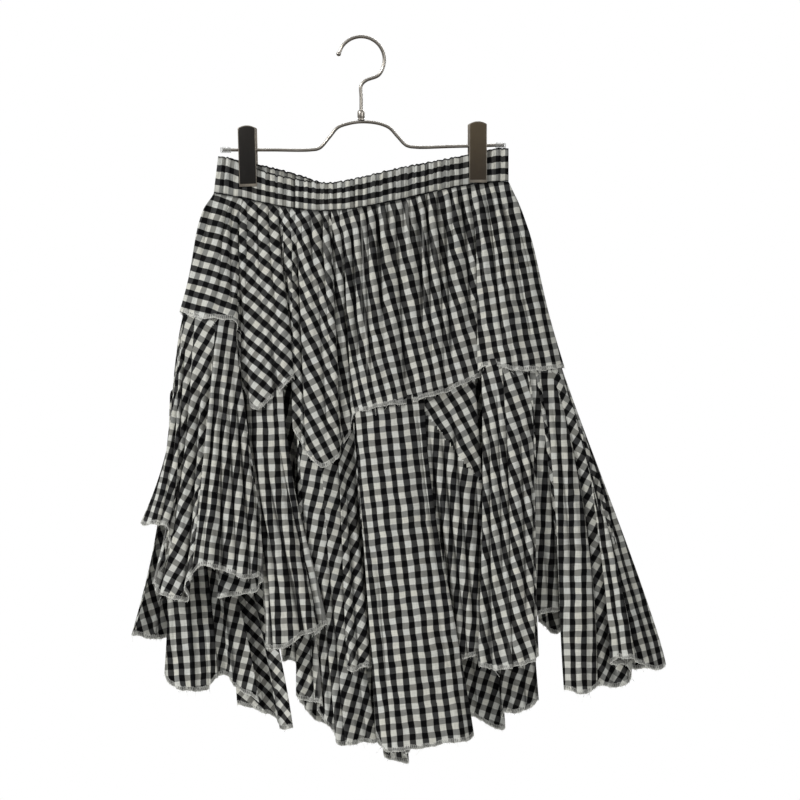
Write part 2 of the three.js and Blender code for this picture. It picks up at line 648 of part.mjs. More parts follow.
// The plate's outline seen from the front, with a domed top edge.
function platePanel() {
  const [w, r] = [CLIP_WIDTH / 2, CLIP_CORNER];
  const shoulder = CLIP_HEIGHT - CLIP_DOME;
  const shape = new THREE.Shape();
  shape.moveTo(-w, 0).lineTo(w, 0).lineTo(w, shoulder - r);
  shape.quadraticCurveTo(w, shoulder, w - r, shoulder + r / 2);
  shape.quadraticCurveTo(0, CLIP_HEIGHT + CLIP_DOME - r / 2, -w + r, shoulder + r / 2);
  shape.quadraticCurveTo(-w, shoulder, -w, shoulder - r);
  shape.closePath();
  const geometry = new THREE.ExtrudeGeometry(shape, { depth: CLIP_PLATE, bevelEnabled: false, curveSegments: 6 });
  return geometry.rotateX(Math.PI / 2).translate(0, CLIP_PLATE, 0);
}

const gingham = new THREE.MeshStandardMaterial({ color: 0x74746f, roughness: 0.9, metalness: 0 });
const nickel = new THREE.MeshStandardMaterial({ color: 0xa39d94, roughness: 0.35, metalness: 1 });
const bronze = new THREE.MeshStandardMaterial({ color: 0x4a4037, roughness: 0.4, metalness: 0.9 });
const clearPlastic = new THREE.MeshStandardMaterial({ color: 0xdfe3e2, roughness: 0.2, metalness: 0 });

function piece(name, geometry, material) {
  const mesh = new THREE.Mesh(geometry, material);
  mesh.name = name;
  return mesh;
}

function skirt() {
  const group = new THREE.Group();
  group.add(piece("waistband_front", bandGeometry(FRONT), gingham));
  group.add(piece("waistband_back", bandGeometry(BACK), gingham));
  const halves = [
    { name: "upper_tier_front", rows: upperFront, side: FRONT, lower: lowerFront },
    { name: "upper_tier_back", rows: upperBack, side: BACK, lower: lowerBack },
  ];
  for (const half of halves) {
    const upper = upperSurface(half.rows, half.side);
    const grid = gridOf(upper, upperColumns(half.rows), UPPER_LEVELS);
    group.add(piece(half.name, wallAbout(grid, CLOTH, half.side), gingham));
    for (const [name, cut] of Object.entries(half.lower)) {
      const surface = lowerSurface(cut, upper, half.side);
      const lowerGrid = gridOf(surface, evenColumns(cut.rows, LOWER_STEPS), LOWER_LEVELS);
      group.add(piece(name, wallAbout(lowerGrid, CLOTH, half.side), gingham));
    }
  }
  return group;
}

function clip(name, x, barDrop, tip) {
  const group = new THREE.Group();
  group.position.set(x, 0, WAIST_Z - barDrop);
  const plates = new THREE.Group();
  plates.rotation.y = THREE.MathUtils.degToRad(-tip);
  group.add(plates);
  const reach = CLIP_WIDTH / 2 + CLIP_BACK_SHIFT + CLIP_BELOW_BAR * Math.sin(THREE.MathUtils.degToRad(tip));
  const jawGap = waistOut(Math.abs(x) - reach) + CLOTH / 2 + SEAM_GAP;
  const lean = Math.atan((CLIP_BARREL + SEAM_GAP - jawGap) / CLIP_BELOW_BAR);
  for (const side of [FRONT, BACK]) {
    const plate = piece(`${name}_${side === FRONT ? "front" : "back"}`, platePanel(), bronze);
    plate.rotation.x = -side * lean;
    const inner = side === FRONT ? CLIP_PLATE + jawGap : jawGap;
    const shift = side === BACK ? -Math.sign(x) * CLIP_BACK_SHIFT : 0;
    plate.position.set(shift, side * inner, -CLIP_BELOW_BAR);
    plates.add(plate);
  }
  const bore = BAR_WIRE + SEAM_GAP;
  const half = CLIP_BARREL_LENGTH / 2;
  const ring = [[bore, -half], [CLIP_BARREL, -half], [CLIP_BARREL, half], [bore, half], [bore, -half]];
  const barrel = new THREE.LatheGeometry(ring.map(([r, y]) => new THREE.Vector2(r, y)), 16).rotateZ(Math.PI / 2);
  group.add(piece(`${name}_barrel`, barrel, nickel));
  return group;
}

function hanger() {
  const group = new THREE.Group();
  group.add(piece("hanger_bar", wire(barPath(), BAR_WIRE, 8, 46), nickel));
  group.add(piece("hanger_hook", hookGeometry(), nickel));
  const ferrule = new THREE.CylinderGeometry(FERRULE_RADIUS, FERRULE_RADIUS, FERRULE_HEIGHT, 16).rotateX(Math.PI / 2);
  const seat = piece("hanger_ferrule", ferrule, nickel);
  seat.position.z = WAIST_Z - BAR_TOP_DROP + BAR_WIRE + SEAM_GAP + FERRULE_HEIGHT / 2;
  group.add(seat);
  const ends = [
    { name: "hanger_sleeve_left", direction: -1, reach: BAR_LEFT_END, drop: BAR_LEFT_DROP },
    { name: "hanger_sleeve_right", direction: 1, reach: BAR_RIGHT_END, drop: BAR_RIGHT_DROP },
  ];
  for (const end of ends) {
    const sleeve = piece(end.name, sleeveGeometry(end.direction), clearPlastic);
    const mouth = end.reach + SEAM_GAP + SLEEVE_CAP - SLEEVE_LENGTH;
    sleeve.position.set(end.direction * mouth, 0, WAIST_Z - end.drop);
    group.add(sleeve);
  }
  group.add(clip("clip_left", CLIP_LEFT_X, BAR_LEFT_DROP, CLIP_LEFT_TIP));
  group.add(clip("clip_right", CLIP_RIGHT_X, CLIP_RIGHT_DROP, 0));
  return group;
}

const model = new THREE.Group();
model.add(skirt(), hanger());

export default model;
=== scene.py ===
# A tiered ruffle skirt of black and white gingham cotton, hung by its waistband from a wire clip hanger.
# Sizes and tables are in millimetres, and turn into metres where a mesh is made.
import math
import random
from collections import namedtuple

import bmesh
import bpy
import numpy as np
from mathutils import Matrix, Vector


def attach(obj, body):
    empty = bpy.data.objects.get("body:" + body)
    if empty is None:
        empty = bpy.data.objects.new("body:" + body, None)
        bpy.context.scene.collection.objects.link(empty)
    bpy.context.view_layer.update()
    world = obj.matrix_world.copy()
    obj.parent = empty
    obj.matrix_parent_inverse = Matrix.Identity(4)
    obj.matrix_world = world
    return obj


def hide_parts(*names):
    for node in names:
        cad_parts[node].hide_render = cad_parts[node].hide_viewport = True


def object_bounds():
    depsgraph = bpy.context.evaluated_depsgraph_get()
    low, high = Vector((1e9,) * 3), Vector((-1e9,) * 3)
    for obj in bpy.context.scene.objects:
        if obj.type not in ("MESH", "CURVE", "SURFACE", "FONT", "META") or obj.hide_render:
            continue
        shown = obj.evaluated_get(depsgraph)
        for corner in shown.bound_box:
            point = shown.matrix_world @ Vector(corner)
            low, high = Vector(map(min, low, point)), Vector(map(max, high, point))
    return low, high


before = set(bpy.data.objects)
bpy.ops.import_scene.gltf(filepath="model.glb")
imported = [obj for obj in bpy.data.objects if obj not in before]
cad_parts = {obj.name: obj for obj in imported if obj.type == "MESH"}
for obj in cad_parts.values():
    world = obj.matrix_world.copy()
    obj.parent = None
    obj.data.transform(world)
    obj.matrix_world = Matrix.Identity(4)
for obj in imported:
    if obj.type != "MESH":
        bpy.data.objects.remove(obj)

bl_info = {
    "name": "Tiered Gingham Skirt",
    "version": (1, 0, 0),
    "blender": (4, 5, 0),
    "location": "3D View > Sidebar > Skirt",
    "description": "Builds a tiered ruffle skirt on its clip hanger",
    "category": "Add Mesh",
}

CAD_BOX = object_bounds()
MM = 0.001
FRONT = -1
BACK = 1

# The skirt's driving sizes, in millimetres
SEAM_GAP = 0.3
SOLID_WALL = 1.2  # wall of the solid that stands for the cloth
LAP_INSET = 2.0
LAYER_STEP = 1.7
LAP_START = 0.962
WAIST_Z = -156.2
WAIST_HALF = 162.5
WAIST_BOW = 14
WAIST_PINCH = 2.6
BAND_LEAN = 5
CLIP_X = 127
BAND_SIDE_EASE = 10
CLIP_EASE = 8
GATHER_DEPTH = 4.2
GATHER_PITCH = 13
GATHER_DRIFT = 0.9
GATHER_DRIFT_LENGTH = 17
GATHER_RISE = 7
GATHER_FADE = 75
HIP_BULGE = 6
BAND_COLUMNS = 420
BAND_ROWS = 14
BAND_CHECK_ROWS = 2.72  # repeats of the check between the band's top edge and its seam
BAND_CHECK_START = -0.12
BAND_STRETCH = 1.27  # how much longer the band's cloth is than its elastic
BAND_STITCH_LINES = (-68, 8, 98)  # x of the upright lines of stitching
BAND_PUCKERS = ((11.6, 0.38), (7.3, 0.45), (17, 0.2), (4.7, 0.28))  # length and height of its waves
BAND_ROUND = 1.3  # the casing turns in this much at its top edge and its seam
BAND_ROUND_SHARE = 0.06  # and does so over about this share of its height
COLUMN_PITCH = 1.7  # the visible cloth's grid
ROW_PITCH = 4.5
SIDE_CLEAR = 0.05  # the visible cloth stops this close to the middle plane at its side folds
SIDE_EASE = (0.5, 7)  # waves and gathers grow over this distance from the middle plane
PUFF_WIDTHS = (6.5, 14)  # the gathers' puffs of cloth under the band
PUFF_DEPTHS = (4, 7.8)
PUFF_LENGTHS = (26, 40, 60, 85, 120, 160, 210)
PUFF_ROUNDNESS = 0.45
PUFF_MEAN = 0.78  # a puff's mean height, as a share of its depth
PUFF_RISE = 3.5  # the puffs grow over about this drop
HEM_WAVES = ((58, 1.3), (37, 1.5), (23, 0.7))  # length and height of a hem's small waves
HEM_DROPS = ((47, 0.8), (19, 0.5), (7, 0.25))  # and of its uneven cut
CREASE_STARTS = (0.12, 0.3)  # shares of a piece's length over which a crease grows, the second at a hem
CREASE_STOPS = 0.16

FLAT_STEPS = 260
FLAT_ROUNDS = 3
FALL_SHARE = 8  # a column's fall is measured over this part of its rows to each side, here an eighth
EVEN_SHARE = 12  # and is evened out over this part of its gore to each side, a twelfth
GORE_SKIP = 4.6 - 1.7j  # cloth taken up in the fold between two gores, along the weft and the warp
FOLD_REACH = 4  # columns to each side that a fold's depth is measured against
CREST_REACH = 1
FOLD_SHADE_DEPTHS = (0.5, 2.2)  # the painted shade in a trough begins at the first depth and is darkest at the second
# the painted highlight on a ridge begins at the first height and is full at the second
CREST_HIGHLIGHT_HEIGHTS = (0.45, 1.0)
SEAM_SHADE = (0.5, 3)  # the painted shadow under a seam fades over these drops

# The hanger's driving sizes, in millimetres
HOOK_WIRE = 1.9
HOOK_RADIUS = 25.6
HOOK_START_ANGLE = -42
HOOK_TIP_ANGLE = 165
HOOK_STEP = 23
HOOK_TIP_BALL = 2.7
HOOK_POINTS = 180  # along the wire's smooth curve
KINK_REACH = 5
KINK_RISE = 5.5
STEM_TOP_DROP = -104
FERRULE_HEIGHT = 11
BAR_WIRE = 1.8
BAR_LEFT_END = 153.5
BAR_RIGHT_END = 158
BAR_LEFT_DROP = -33
BAR_RIGHT_DROP = -38.2
BAR_TOP_DROP = -64
BAR_POINTS = 220
SLEEVE_LENGTH = 12
SLEEVE_CAP = 1.5
CLIP_LEFT_X = -125.8
CLIP_RIGHT_X = 129
CLIP_RIGHT_DROP = -37.5
CLIP_LEFT_TIP = 1.6  # degrees
CLIP_WIDTH = 19.4
CLIP_HEIGHT = 67.5
CLIP_PLATE = 1.5
CLIP_CORNER = 1.2
CLIP_DOME = 2.8
CLIP_BELOW_BAR = 40.7
CLIP_BACK_SHIFT = 1.6
CLIP_BARREL = 4.4
CLIP_BARREL_LENGTH = 14

CLIP_TRAY = 1.0  # thickness of the plate under its raised panel
CLIP_BORDER = 0.9
CLIP_LIP = 3.2  # height of the pale lip below the panel
CLIP_CORNER_STEPS = 6
CLIP_BEVEL = 0.25
SPRING_WIRE = 0.75
SPRING_TURNS = 8

# The camera stands square to the skirt's front. The photograph shows 1.1 mm in each of its 800 pixels.
PHOTO_PIXELS = 800
MM_PER_PIXEL = 1.1
HOOK_PIXEL = (361, 37)  # the frame's origin in the photograph
CAMERA_DISTANCE = 4.0
CLOTH_PLANE = -15  # the plane that the scale holds for
SENSOR = 36.0

# The stage, in metres
FLOOR_DROP = 0.18
FLOOR_RADIUS = 1.25
LAMP_AIM = (0.04, 0, -0.45)

Edge = namedtuple("Edge", "x top seam back_top back_seam")
Fold = namedtuple("Fold", "seam x drop out warp flare", defaults=(0,))
Cut = namedtuple("Cut", "layer layer_right folds")
Crease = namedtuple("Crease", "at start end shift width depth")
Lamp = namedtuple("Lamp", "name place size")

LAMPS = (
    Lamp("key", (-2.7, -1.9, 1.5), 0.9),
    Lamp("fill", (2.0, -2.6, 0.1), 1.8),
    Lamp("back", (0.3, 2.6, 0.7), 1.8),
)

# The waistband's edges, below the waist line: its top edge and its lower seam, front and back.
BAND = (
    Edge(-163, -26, 14.5, -26, 14.5),
    Edge(-148, -24, 17, -24, 17),
    Edge(-133, -19, 20, -20.5, 18),
    Edge(-100, -7, 27, -14, 22),
    Edge(-66, 0.5, 33, -5, 28),
    Edge(-35, 4, 34.5, 4.5, 34),
    Edge(0, -2, 31, 1, 33),
    Edge(45, -13, 22, -9, 24),
    Edge(90, -22, 11, -19, 13),
    Edge(127, -29.5, 4.5, -29, 5),
    Edge(148, -34.3, 2.5, -34.2, 2.5),
    Edge(163, -34.7, 1.5, -34.7, 1.5),
)

# The folds of an upper tier: seam is where a fold leaves the waist seam, and x, drop and out place it at
# the tier's hem. Warp is how far the check's dark stripes lean from upright there, in degrees, to the right
# going down. A lower fold with a flare above 0 swings sideways later than it drops, and one below 0 sooner.
UPPER_FRONT = (
    Fold(-162.5, -199, 146, 0.2, 71),
    Fold(-161.5, -198, 147, 8, 72),
    Fold(-152, -181, 152, 18, 77),
    Fold(-141, -152, 155, 22, 73),
    Fold(-136, -138, 158, 17, 66),
    Fold(-133.5, -135, 188, 10, 61),
    Fold(-130, -130, 228, 13, 55),
    Fold(-121, -115, 254, 23, 53),
    Fold(-108, -95, 239, 27, 51),
    Fold(-94, -74, 220, 21, 47),
    Fold(-88, -69, 238, 12, 44),
    Fold(-84, -73, 266, 18, 42),
    Fold(-74, -63, 297, 26, 37),
    Fold(-57, -43, 316, 29, 31),
    Fold(-40, -25, 307, 25, 25),
    Fold(-29, -17, 288, 16, 20),
    Fold(-21, -11, 274, 12, 18),
    Fold(-15, -8, 258, 20, 17),
    Fold(-4, 6, 254, 28, 16),
    Fold(24, 33, 249, 30, 15),
    Fold(60, 66, 243, 28, 14),
    Fold(92, 101, 231, 25, 13.5),
    Fold(112, 127, 219, 20, 13),
    Fold(119, 131, 214, 12, 12.5),
    Fold(123, 130, 210, 20, 12),
    Fold(131, 146, 205, 27, 12),
    Fold(143, 175, 212, 27, 10.5),
    Fold(154, 207, 209, 19, 10),
    Fold(161.5, 221.5, 208, 8, 9.5),
    Fold(162.5, 223, 208, 0.2, 9.5),
)

UPPER_BACK = (
    Fold(-162.5, -199, 146, 0.2, 31),
    Fold(-161, -198, 149, 8, 31),
    Fold(-140, -170, 175, 23, 26),
    Fold(-120, -140, 205, 15, 22),
    Fold(-95, -108, 225, 25, 17),
    Fold(-70, -76, 232, 16, 12),
    Fold(-45, -42, 240, 26, 7),
    Fold(-18, -8, 238, 17, 1),
    Fold(8, 24, 242, 27, -4),
    Fold(36, 56, 236, 17, -9),
    Fold(62, 90, 232, 26, -14),
    Fold(88, 122, 224, 16, -19),
    Fold(114, 156, 216, 25, -24),
    Fold(140, 190, 210, 17, -29),
    Fold(156, 214, 207, 12, -33),
    Fold(161.5, 221.5, 207, 6, -34),
    Fold(162.5, 223, 208, 0.2, -35),
)

LOWER_FRONT = {
    "flounce_left": Cut(0, 0, (
        Fold(0, -243, 378, 0.2, -12, 1.4),
        Fold(0.4, -242, 380, 9, -13, 1.4),
        Fold(1, -228, 381, 17, -17, 1.3),
        Fold(1.3, -214, 382, 19, -21, 1.2),
        Fold(1.5, -209, 402, 13, -24, 1.1),
        Fold(1.75, -227, 453, 9, -27, 1.0),
        Fold(2.1, -210, 460, 14, -29, 0.8),
        Fold(2.4, -193, 465, 17, -32, 0.6),
        Fold(2.6, -192, 449, 26, -31, 0.4),
        Fold(2.75, -186, 434, 35, -10, 0.2),
        Fold(3, -173, 424, 40, -10),
        Fold(3.3, -149, 431, 40, -10, -0.3),
        Fold(3.6, -126, 438, 38, -9, -0.7),
        Fold(3.85, -109, 438, 32, -8, -1),
        Fold(4, -111, 450, 23, -7, -0.9),
        Fold(4.2, -132, 458, 19, 18, -0.3),
        Fold(4.4, -158, 460, 17, 20, 0.4),
    )),
    "flounce_mid_left": Cut(1, 1, (
        Fold(4.5, -106, 504, 14, 0, -1),
        Fold(4.9, -105, 511, 16, 0, -0.9),
        Fold(5.2, -102.5, 517, 23, 0, -0.8),
        Fold(5.6, -96, 516, 31, 1, -0.5),
        Fold(6.4, -78, 512, 35, 2),
        Fold(7.2, -61, 500, 36, 3),
        Fold(7.8, -46, 494, 33, 4),
        Fold(8.1, -40, 491, 25, 4),
        Fold(8.4, -50, 502, 18, 2),
    )),
    "flounce_inner": Cut(0, 2, (
        Fold(10.5, -56, 520, 7, -28),
        Fold(10.75, -67, 547, 8, -29),
        Fold(11, -70, 569, 11, -30),
        Fold(11.25, -58, 575, 13, -26),
        Fold(11.5, -46, 578, 11, -13),
        Fold(11.8, -47, 586, 8, -12),
        Fold(12.2, -31, 609, 10, -11),
        Fold(12.7, -25, 621, 13, -11),
        Fold(13.2, -12, 623, 14, -14),
        Fold(13.8, 4, 621, 11, -18),
        Fold(14.3, 17, 620, 8, -20),
    )),
    "godet_centre_left": Cut(0, 0, (
        Fold(14.1, -16, 539, 26, -30),
        Fold(14.8, -9, 540, 31, -30),
        Fold(15.5, 4, 537, 28, -30),
        Fold(16.1, 17, 535, 19, -29),
        Fold(16.6, 24, 532, 14, -28),
    )),
    "panel_centre": Cut(0, 0, (
        Fold(17.1, 21, 600, 28, 9),
        Fold(17.3, 18, 615, 37, 7),
        Fold(17.6, 27, 626, 42, 6),
        Fold(18.1, 45, 627, 44, 5),
        Fold(18.8, 67, 623, 45, 6),
        Fold(19.4, 92, 619, 43, 7),
        Fold(19.8, 115, 616, 38, 8),
        Fold(20, 124, 611, 30, 8),
        Fold(20.1, 116, 606, 23, 7),
    )),
    "godet_centre_right": Cut(1, 1, (
        Fold(19.7, 84, 505, 13, -7),
        Fold(20, 98, 520, 16, -7),
        Fold(20.35, 109, 526, 23, -6),
        Fold(20.7, 120, 525, 27, -6),
        Fold(21, 129, 523, 25, -6),
        Fold(21.5, 138, 522, 19, -6),
        Fold(22, 148, 520, 14, -6),
    )),
    "flounce_right": Cut(0, 0, (
        Fold(24.15, 133, 528, 24, 12),
        Fold(24.3, 133, 535, 32, 14),
        Fold(24.6, 143, 538, 38, 16),
        Fold(25.1, 158, 537, 40, 18),
        Fold(25.6, 175, 534, 40, 20),
        Fold(26, 190, 528, 35, 20),
        Fold(26.2, 196, 524, 26, 19),
        Fold(26.3, 187, 529, 20, 18),
    )),
    "flounce_right_inner": Cut(1, 1, (
        Fold(25.4, 176, 494, 8, -4),
        Fold(25.7, 187, 487, 11, -4),
        Fold(26, 198, 478, 14, -4),
        Fold(26.35, 214, 476, 16, -2),
        Fold(26.6, 228, 474, 15, 30),
        Fold(26.75, 233, 474, 12, 30),
        Fold(26.85, 224, 483, 8, 28),
    )),
    "flounce_side_right": Cut(0, 0, (
        Fold(26.6, 226, 548, 20, 4),
        Fold(26.68, 223, 559, 25, 4),
        Fold(26.76, 231, 563, 32, 5, -0.2),
        Fold(26.85, 245, 565, 34, 6, -0.5),
        Fold(26.95, 256, 560, 30, 6, -0.75),
        Fold(27.05, 261, 558, 19, -30, -0.8),
        Fold(27.15, 277, 559, 11, -30, -0.8),
        Fold(27.25, 291, 557, 9, -32, -0.8),
        Fold(27.35, 298, 548, 12, -34, -0.8),
        Fold(27.45, 290, 534, 17, -34, -0.8),
        Fold(27.55, 274, 534, 23, 7, -0.7),
        Fold(27.7, 281, 527, 31, 8, -0.5),
        Fold(27.9, 296, 526, 31, 10, -0.25),
        Fold(28.15, 310, 535, 25, 13, -0.08),
        Fold(28.4, 325, 540, 16, 15, -0.12),
        Fold(28.7, 334, 537, 7, 17, -0.15),
        Fold(29, 335.5, 536, 0.2, 18, -0.15),
    )),
}

LOWER_BACK = {
    "back_flounce_left": Cut(0, 0, (
        Fold(0, -252, 502, 0.2, 24, 0.9),
        Fold(0.3, -250, 505, 10, 22, 0.9),
        Fold(0.6, -230, 508, 22, 18, 0.7),
        Fold(0.85, -208, 508, 27, 14, 0.5),
        Fold(1, -202, 523, 20, 12, 0.4),
        Fold(1.15, -218, 550, 14, 10, 0.3),
        Fold(1.35, -202, 563, 11, 8, 0.1),
        Fold(1.55, -172, 565, 14, 2),
        Fold(1.65, -164, 554, 18, -4),
        Fold(1.75, -153, 549, 21, -10),
        Fold(1.85, -137, 562, 17, -14),
        Fold(1.95, -113, 578, 12, -17),
    )),
    "back_flounce_corner": Cut(0, 0, (
        Fold(2.3, -138, 583, 30, 52),
        Fold(2.5, -116, 588, 33, 52),
        Fold(2.7, -96, 597, 29, 50),
        Fold(2.9, -88, 608, 22, 48),
        Fold(3.2, -75, 606, 15, 46),
    )),
    "back_panel_centre": Cut(0, 0, (
        Fold(3.3, -88, 532, 15, -15),
        Fold(4, -80, 532, 21, -14),
        Fold(4.6, -72, 536, 25, -13),
        Fold(4.8, -70, 566, 26, -12),
        Fold(5.3, -57, 592, 20, -9),
        Fold(5.9, -32, 607, 27, -6),
        Fold(6.5, -4, 613, 18, -3),
        Fold(6.95, 19, 624, 24, 0),
        Fold(7.2, 25, 641, 29, 2),
        Fold(7.6, 38, 645, 30, 4),
        Fold(7.9, 50, 646, 25, 6),
        Fold(8.1, 55, 629, 20, 8),
        Fold(8.6, 80, 622, 26, 8),
        Fold(9.2, 106, 610, 17, 8),
    )),
    "back_flounce_right": Cut(0, 0, (
        Fold(9.3, 98, 584, 9, -18),
        Fold(9.7, 112, 592, 14, -18),
        Fold(10.2, 126, 595, 21, -18),
        Fold(10.7, 141, 605, 24, -18),
        Fold(11.1, 157, 609, 21, -18),
        Fold(11.25, 161, 600, 15, -18),
        Fold(11.4, 156, 591, 9, -18),
        Fold(11.65, 167, 590, 10, -18),
        Fold(11.9, 182, 586, 12, -18),
        Fold(12.1, 193, 580, 16, -18),
        Fold(12.25, 190, 570, 22, -18),
        Fold(12.4, 183, 556, 21, -18),
    )),
    "back_flounce_side_right": Cut(0, 0, (
        Fold(12.75, 196, 490, 30, 18),
        Fold(12.95, 203, 495, 24, 18),
        Fold(13.2, 209, 500, 17, 17),
        Fold(13.5, 217, 502, 14, 16),
        Fold(13.7, 222, 496, 18, 15),
        Fold(13.85, 229, 500, 24, 14),
        Fold(14.2, 250, 527, 27, 13),
        Fold(14.6, 275, 542, 18, 12),
        Fold(15, 300, 543, 25, 11, -0.05),
        Fold(15.4, 322, 540, 18, 10, -0.12),
        Fold(15.8, 334, 537, 7, 9, -0.15),
        Fold(16, 335.5, 536, 0.2, 8, -0.15),
    )),
}

# Where a piece is cut into gores, counted by the piece's folds: each gore keeps a grain of its own.
GORES = {
    "upper_tier_front": (5.6, 9.4, 12.1, 14.6, 23.4),
    "flounce_left": (2.4, 5.3, 8.7, 13.6, 14.5),
    "flounce_mid_left": (2.6, 6.4),
    "flounce_inner": (3.5, 7.6),
    "flounce_right": (3.4, 6.2),
    "flounce_right_inner": (3.5,),
    "flounce_side_right": (5, 9.5, 12.4),
    "back_flounce_left": (4.5, 8.4),
    "back_panel_centre": (3.5, 7.4, 10.6),
    "back_flounce_right": (5.5, 9.4),
    "back_flounce_side_right": (3.5, 6.6),
}

# A piece's corner that is cut on its own grain: the fold where its seam starts at the top, the fold that
# the seam would reach at the hem, and the corner's warp.
CORNERS = {"godet_centre_right": (0.2, 14.5, 32)}

# The bar, as a wire bent in the skirt's plane.
BAR_BEND = (
    (-BAR_LEFT_END, BAR_LEFT_DROP), (-100, BAR_LEFT_DROP), (-56, -33), (-46, -35), (-35, -47), (-26, -57.5),
    (-14, -62), (0, BAR_TOP_DROP), (18, -62.5), (31, -57.5), (40, -48), (50, -38), (60, -36), (100, -36.8),
    (129, -37.5), (147, -38.1), (BAR_RIGHT_END, BAR_RIGHT_DROP),
)


def reading(table, at, key):
    """A smooth value between the rows of a table, at places given as an array."""
    places = np.array([getattr(row, at) for row in table], float)
    values = np.array([getattr(row, key) for row in table], float)
    last = len(table) - 1
    low = np.maximum(np.arange(last + 1) - 1, 0)
    high = np.minimum(np.arange(last + 1) + 1, last)
    rises = (values[high] - values[low]) / (places[high] - places[low])

    def read(where):
        where = np.asarray(where, float)
        i = np.clip(np.searchsorted(places, where, side="left") - 1, 0, last - 1)
        span = places[i + 1] - places[i]
        t = np.clip((where - places[i]) / span, 0, 1)
        t2, t3 = t * t, t**3
        return (
            (2 * t3 - 3 * t2 + 1) * values[i]
            + (t3 - 2 * t2 + t) * span * rises[i]
            + (3 * t2 - 2 * t3) * values[i + 1]
            + (t3 - t2) * span * rises[i + 1]
        )

    return read


def curve_through(points):
    """A smooth centripetal curve through points, read at places counted by the points from 0."""
    points = np.asarray(points, float)
    last = len(points) - 1
    padded = np.vstack([2 * points[0] - points[1], points, 2 * points[-1] - points[-2]])

    def read(where):
        where = np.clip(np.asarray(where, float), 0, last)
        i = np.minimum(where.astype(int), last - 1)
        t = (where - i)[..., None]
        p0, p1, p2, p3 = (padded[i + k] for k in range(4))
        pairs = ((p0, p1), (p1, p2), (p2, p3))
        d0, d1, d2 = (np.sqrt(np.linalg.norm(b - a, axis=-1, keepdims=True)) for a, b in pairs)
        d1 = np.where(d1 < 1e-4, 1.0, d1)
        d0 = np.where(d0 < 1e-4, d1, d0)
        d2 = np.where(d2 < 1e-4, d1, d2)
        rise1 = ((p1 - p0) / d0 - (p2 - p0) / (d0 + d1) + (p2 - p1) / d1) * d1
        rise2 = ((p2 - p1) / d1 - (p3 - p1) / (d1 + d2) + (p3 - p2) / d2) * d1
        square = 3 * (p2 - p1) - 2 * rise1 - rise2
        cube = 2 * (p1 - p2) + rise1 + rise2
        return p1 + rise1 * t + square * t**2 + cube * t**3

    return read


def mix(a, b, t):
    return a + (b - a) * t


def smooth(value, low, high):
    """0 below low, 1 above high, and smooth between."""
    t = np.clip((value - low) / (high - low), 0, 1)
    return t * t * (3 - 2 * t)


def waist_out(x):
    """How far the waist ring stands out at x: flat at the clips, bowed between them, round at its sides."""
    roundness = np.sqrt(np.maximum(0, 1 - (x / WAIST_HALF) ** 2))
    between = np.where(np.abs(x) < CLIP_X, np.cos(math.pi * x / (2 * CLIP_X)) ** 2, 0)
    return (WAIST_PINCH + WAIST_BOW * between) * roundness + SEAM_GAP / 2


def clear_of_clips(x):
    """0 where a clip grips the band, and 1 away from it."""
    beside = np.maximum(0, np.abs(np.abs(x) - CLIP_X) - CLIP_WIDTH / 2 - 1)
    return 1 - np.exp(-((beside / CLIP_EASE) ** 2))


def upper_surface(folds, side):
    """The surface of an upper tier, read by fold and by share of its length below the waist seam."""
    seam_at = reading(BAND, "x", "back_seam" if side == BACK else "seam")
    start = curve_through([[fold.seam] for fold in folds])
    hem = curve_through([[fold.x, side * fold.out, WAIST_Z - fold.drop] for fold in folds])

    def read(fold, t):
        seam_x = start(fold)[..., 0]
        end = hem(fold)
        top = WAIST_Z - seam_at(seam_x) - SEAM_GAP
        below = (top - end[..., 2]) * t
        side_share = (seam_x / WAIST_HALF) ** 3
        swell = HIP_BULGE * side_share * np.sin(math.pi * (1 - t) ** 2)
        drift = GATHER_DRIFT * np.sin(seam_x / GATHER_DRIFT_LENGTH)
        wave = 0.5 + 0.5 * np.cos(2 * math.pi * seam_x / GATHER_PITCH + drift)
        reach = (1 - np.exp(-below / GATHER_RISE)) * np.exp(-below / GATHER_FADE) * (1 - np.abs(side_share))
        x = mix(seam_x, end[..., 0], t) + swell
        out = mix(waist_out(seam_x), side * end[..., 1], t) + GATHER_DEPTH * wave * reach
        return np.stack([x, side * out, mix(top, end[..., 2], t)], axis=-1)

    return read


def lower_surface(cut, upper, side):
    """The surface of a lower piece. It leaves the upper tier along its slope, and swings to its own hem."""
    start = curve_through([[fold.seam, fold.flare] for fold in cut.folds])
    hem = curve_through([[fold.x, side * fold.out, WAIST_Z - fold.drop] for fold in cut.folds])
    last = len(cut.folds) - 1
    nudge = 0.02

    def read(row, t):
        fold, flare = np.moveaxis(start(row), -1, 0)
        inset = LAP_INSET + LAYER_STEP * mix(cut.layer, cut.layer_right, row / last)
        here = upper(fold, np.full_like(fold, LAP_START))
        ends = [upper(fold + step, np.full_like(fold, LAP_START)) for step in (nudge, -nudge)]
        down = upper(fold, np.ones_like(fold)) - here
        down /= np.linalg.norm(down, axis=-1, keepdims=True)
        inward = np.cross(ends[0] - ends[1], down)
        inward /= np.linalg.norm(inward, axis=-1, keepdims=True)
        top = here - inward * side * inset[..., None]
        end = hem(row)
        run = end - top
        leaving = down * np.linalg.norm(run, axis=-1, keepdims=True)
        share = t[..., None]
        t2, t3 = share**2, share**3
        hung = top * (2 * t3 - 3 * t2 + 1) + leaving * (t3 - 2 * t2 + share)
        hung += end * (3 * t2 - 2 * t3) + run * (t3 - t2)
        swing = np.where(flare < 0, 1 - (1 - t) ** (1 - flare), t ** (1 + flare)) - t
        hung[..., 0] += run[..., 0] * swing
        return hung

    return read


def across_of(grid):
    return np.gradient(grid, axis=0)


def outward_of(grid, side):
    """The outward unit normal at each point of a grid[column][row]."""
    normal = side * np.cross(across_of(grid), np.gradient(grid, axis=1))
    return normal / np.maximum(np.linalg.norm(normal, axis=-1, keepdims=True), 1e-9)


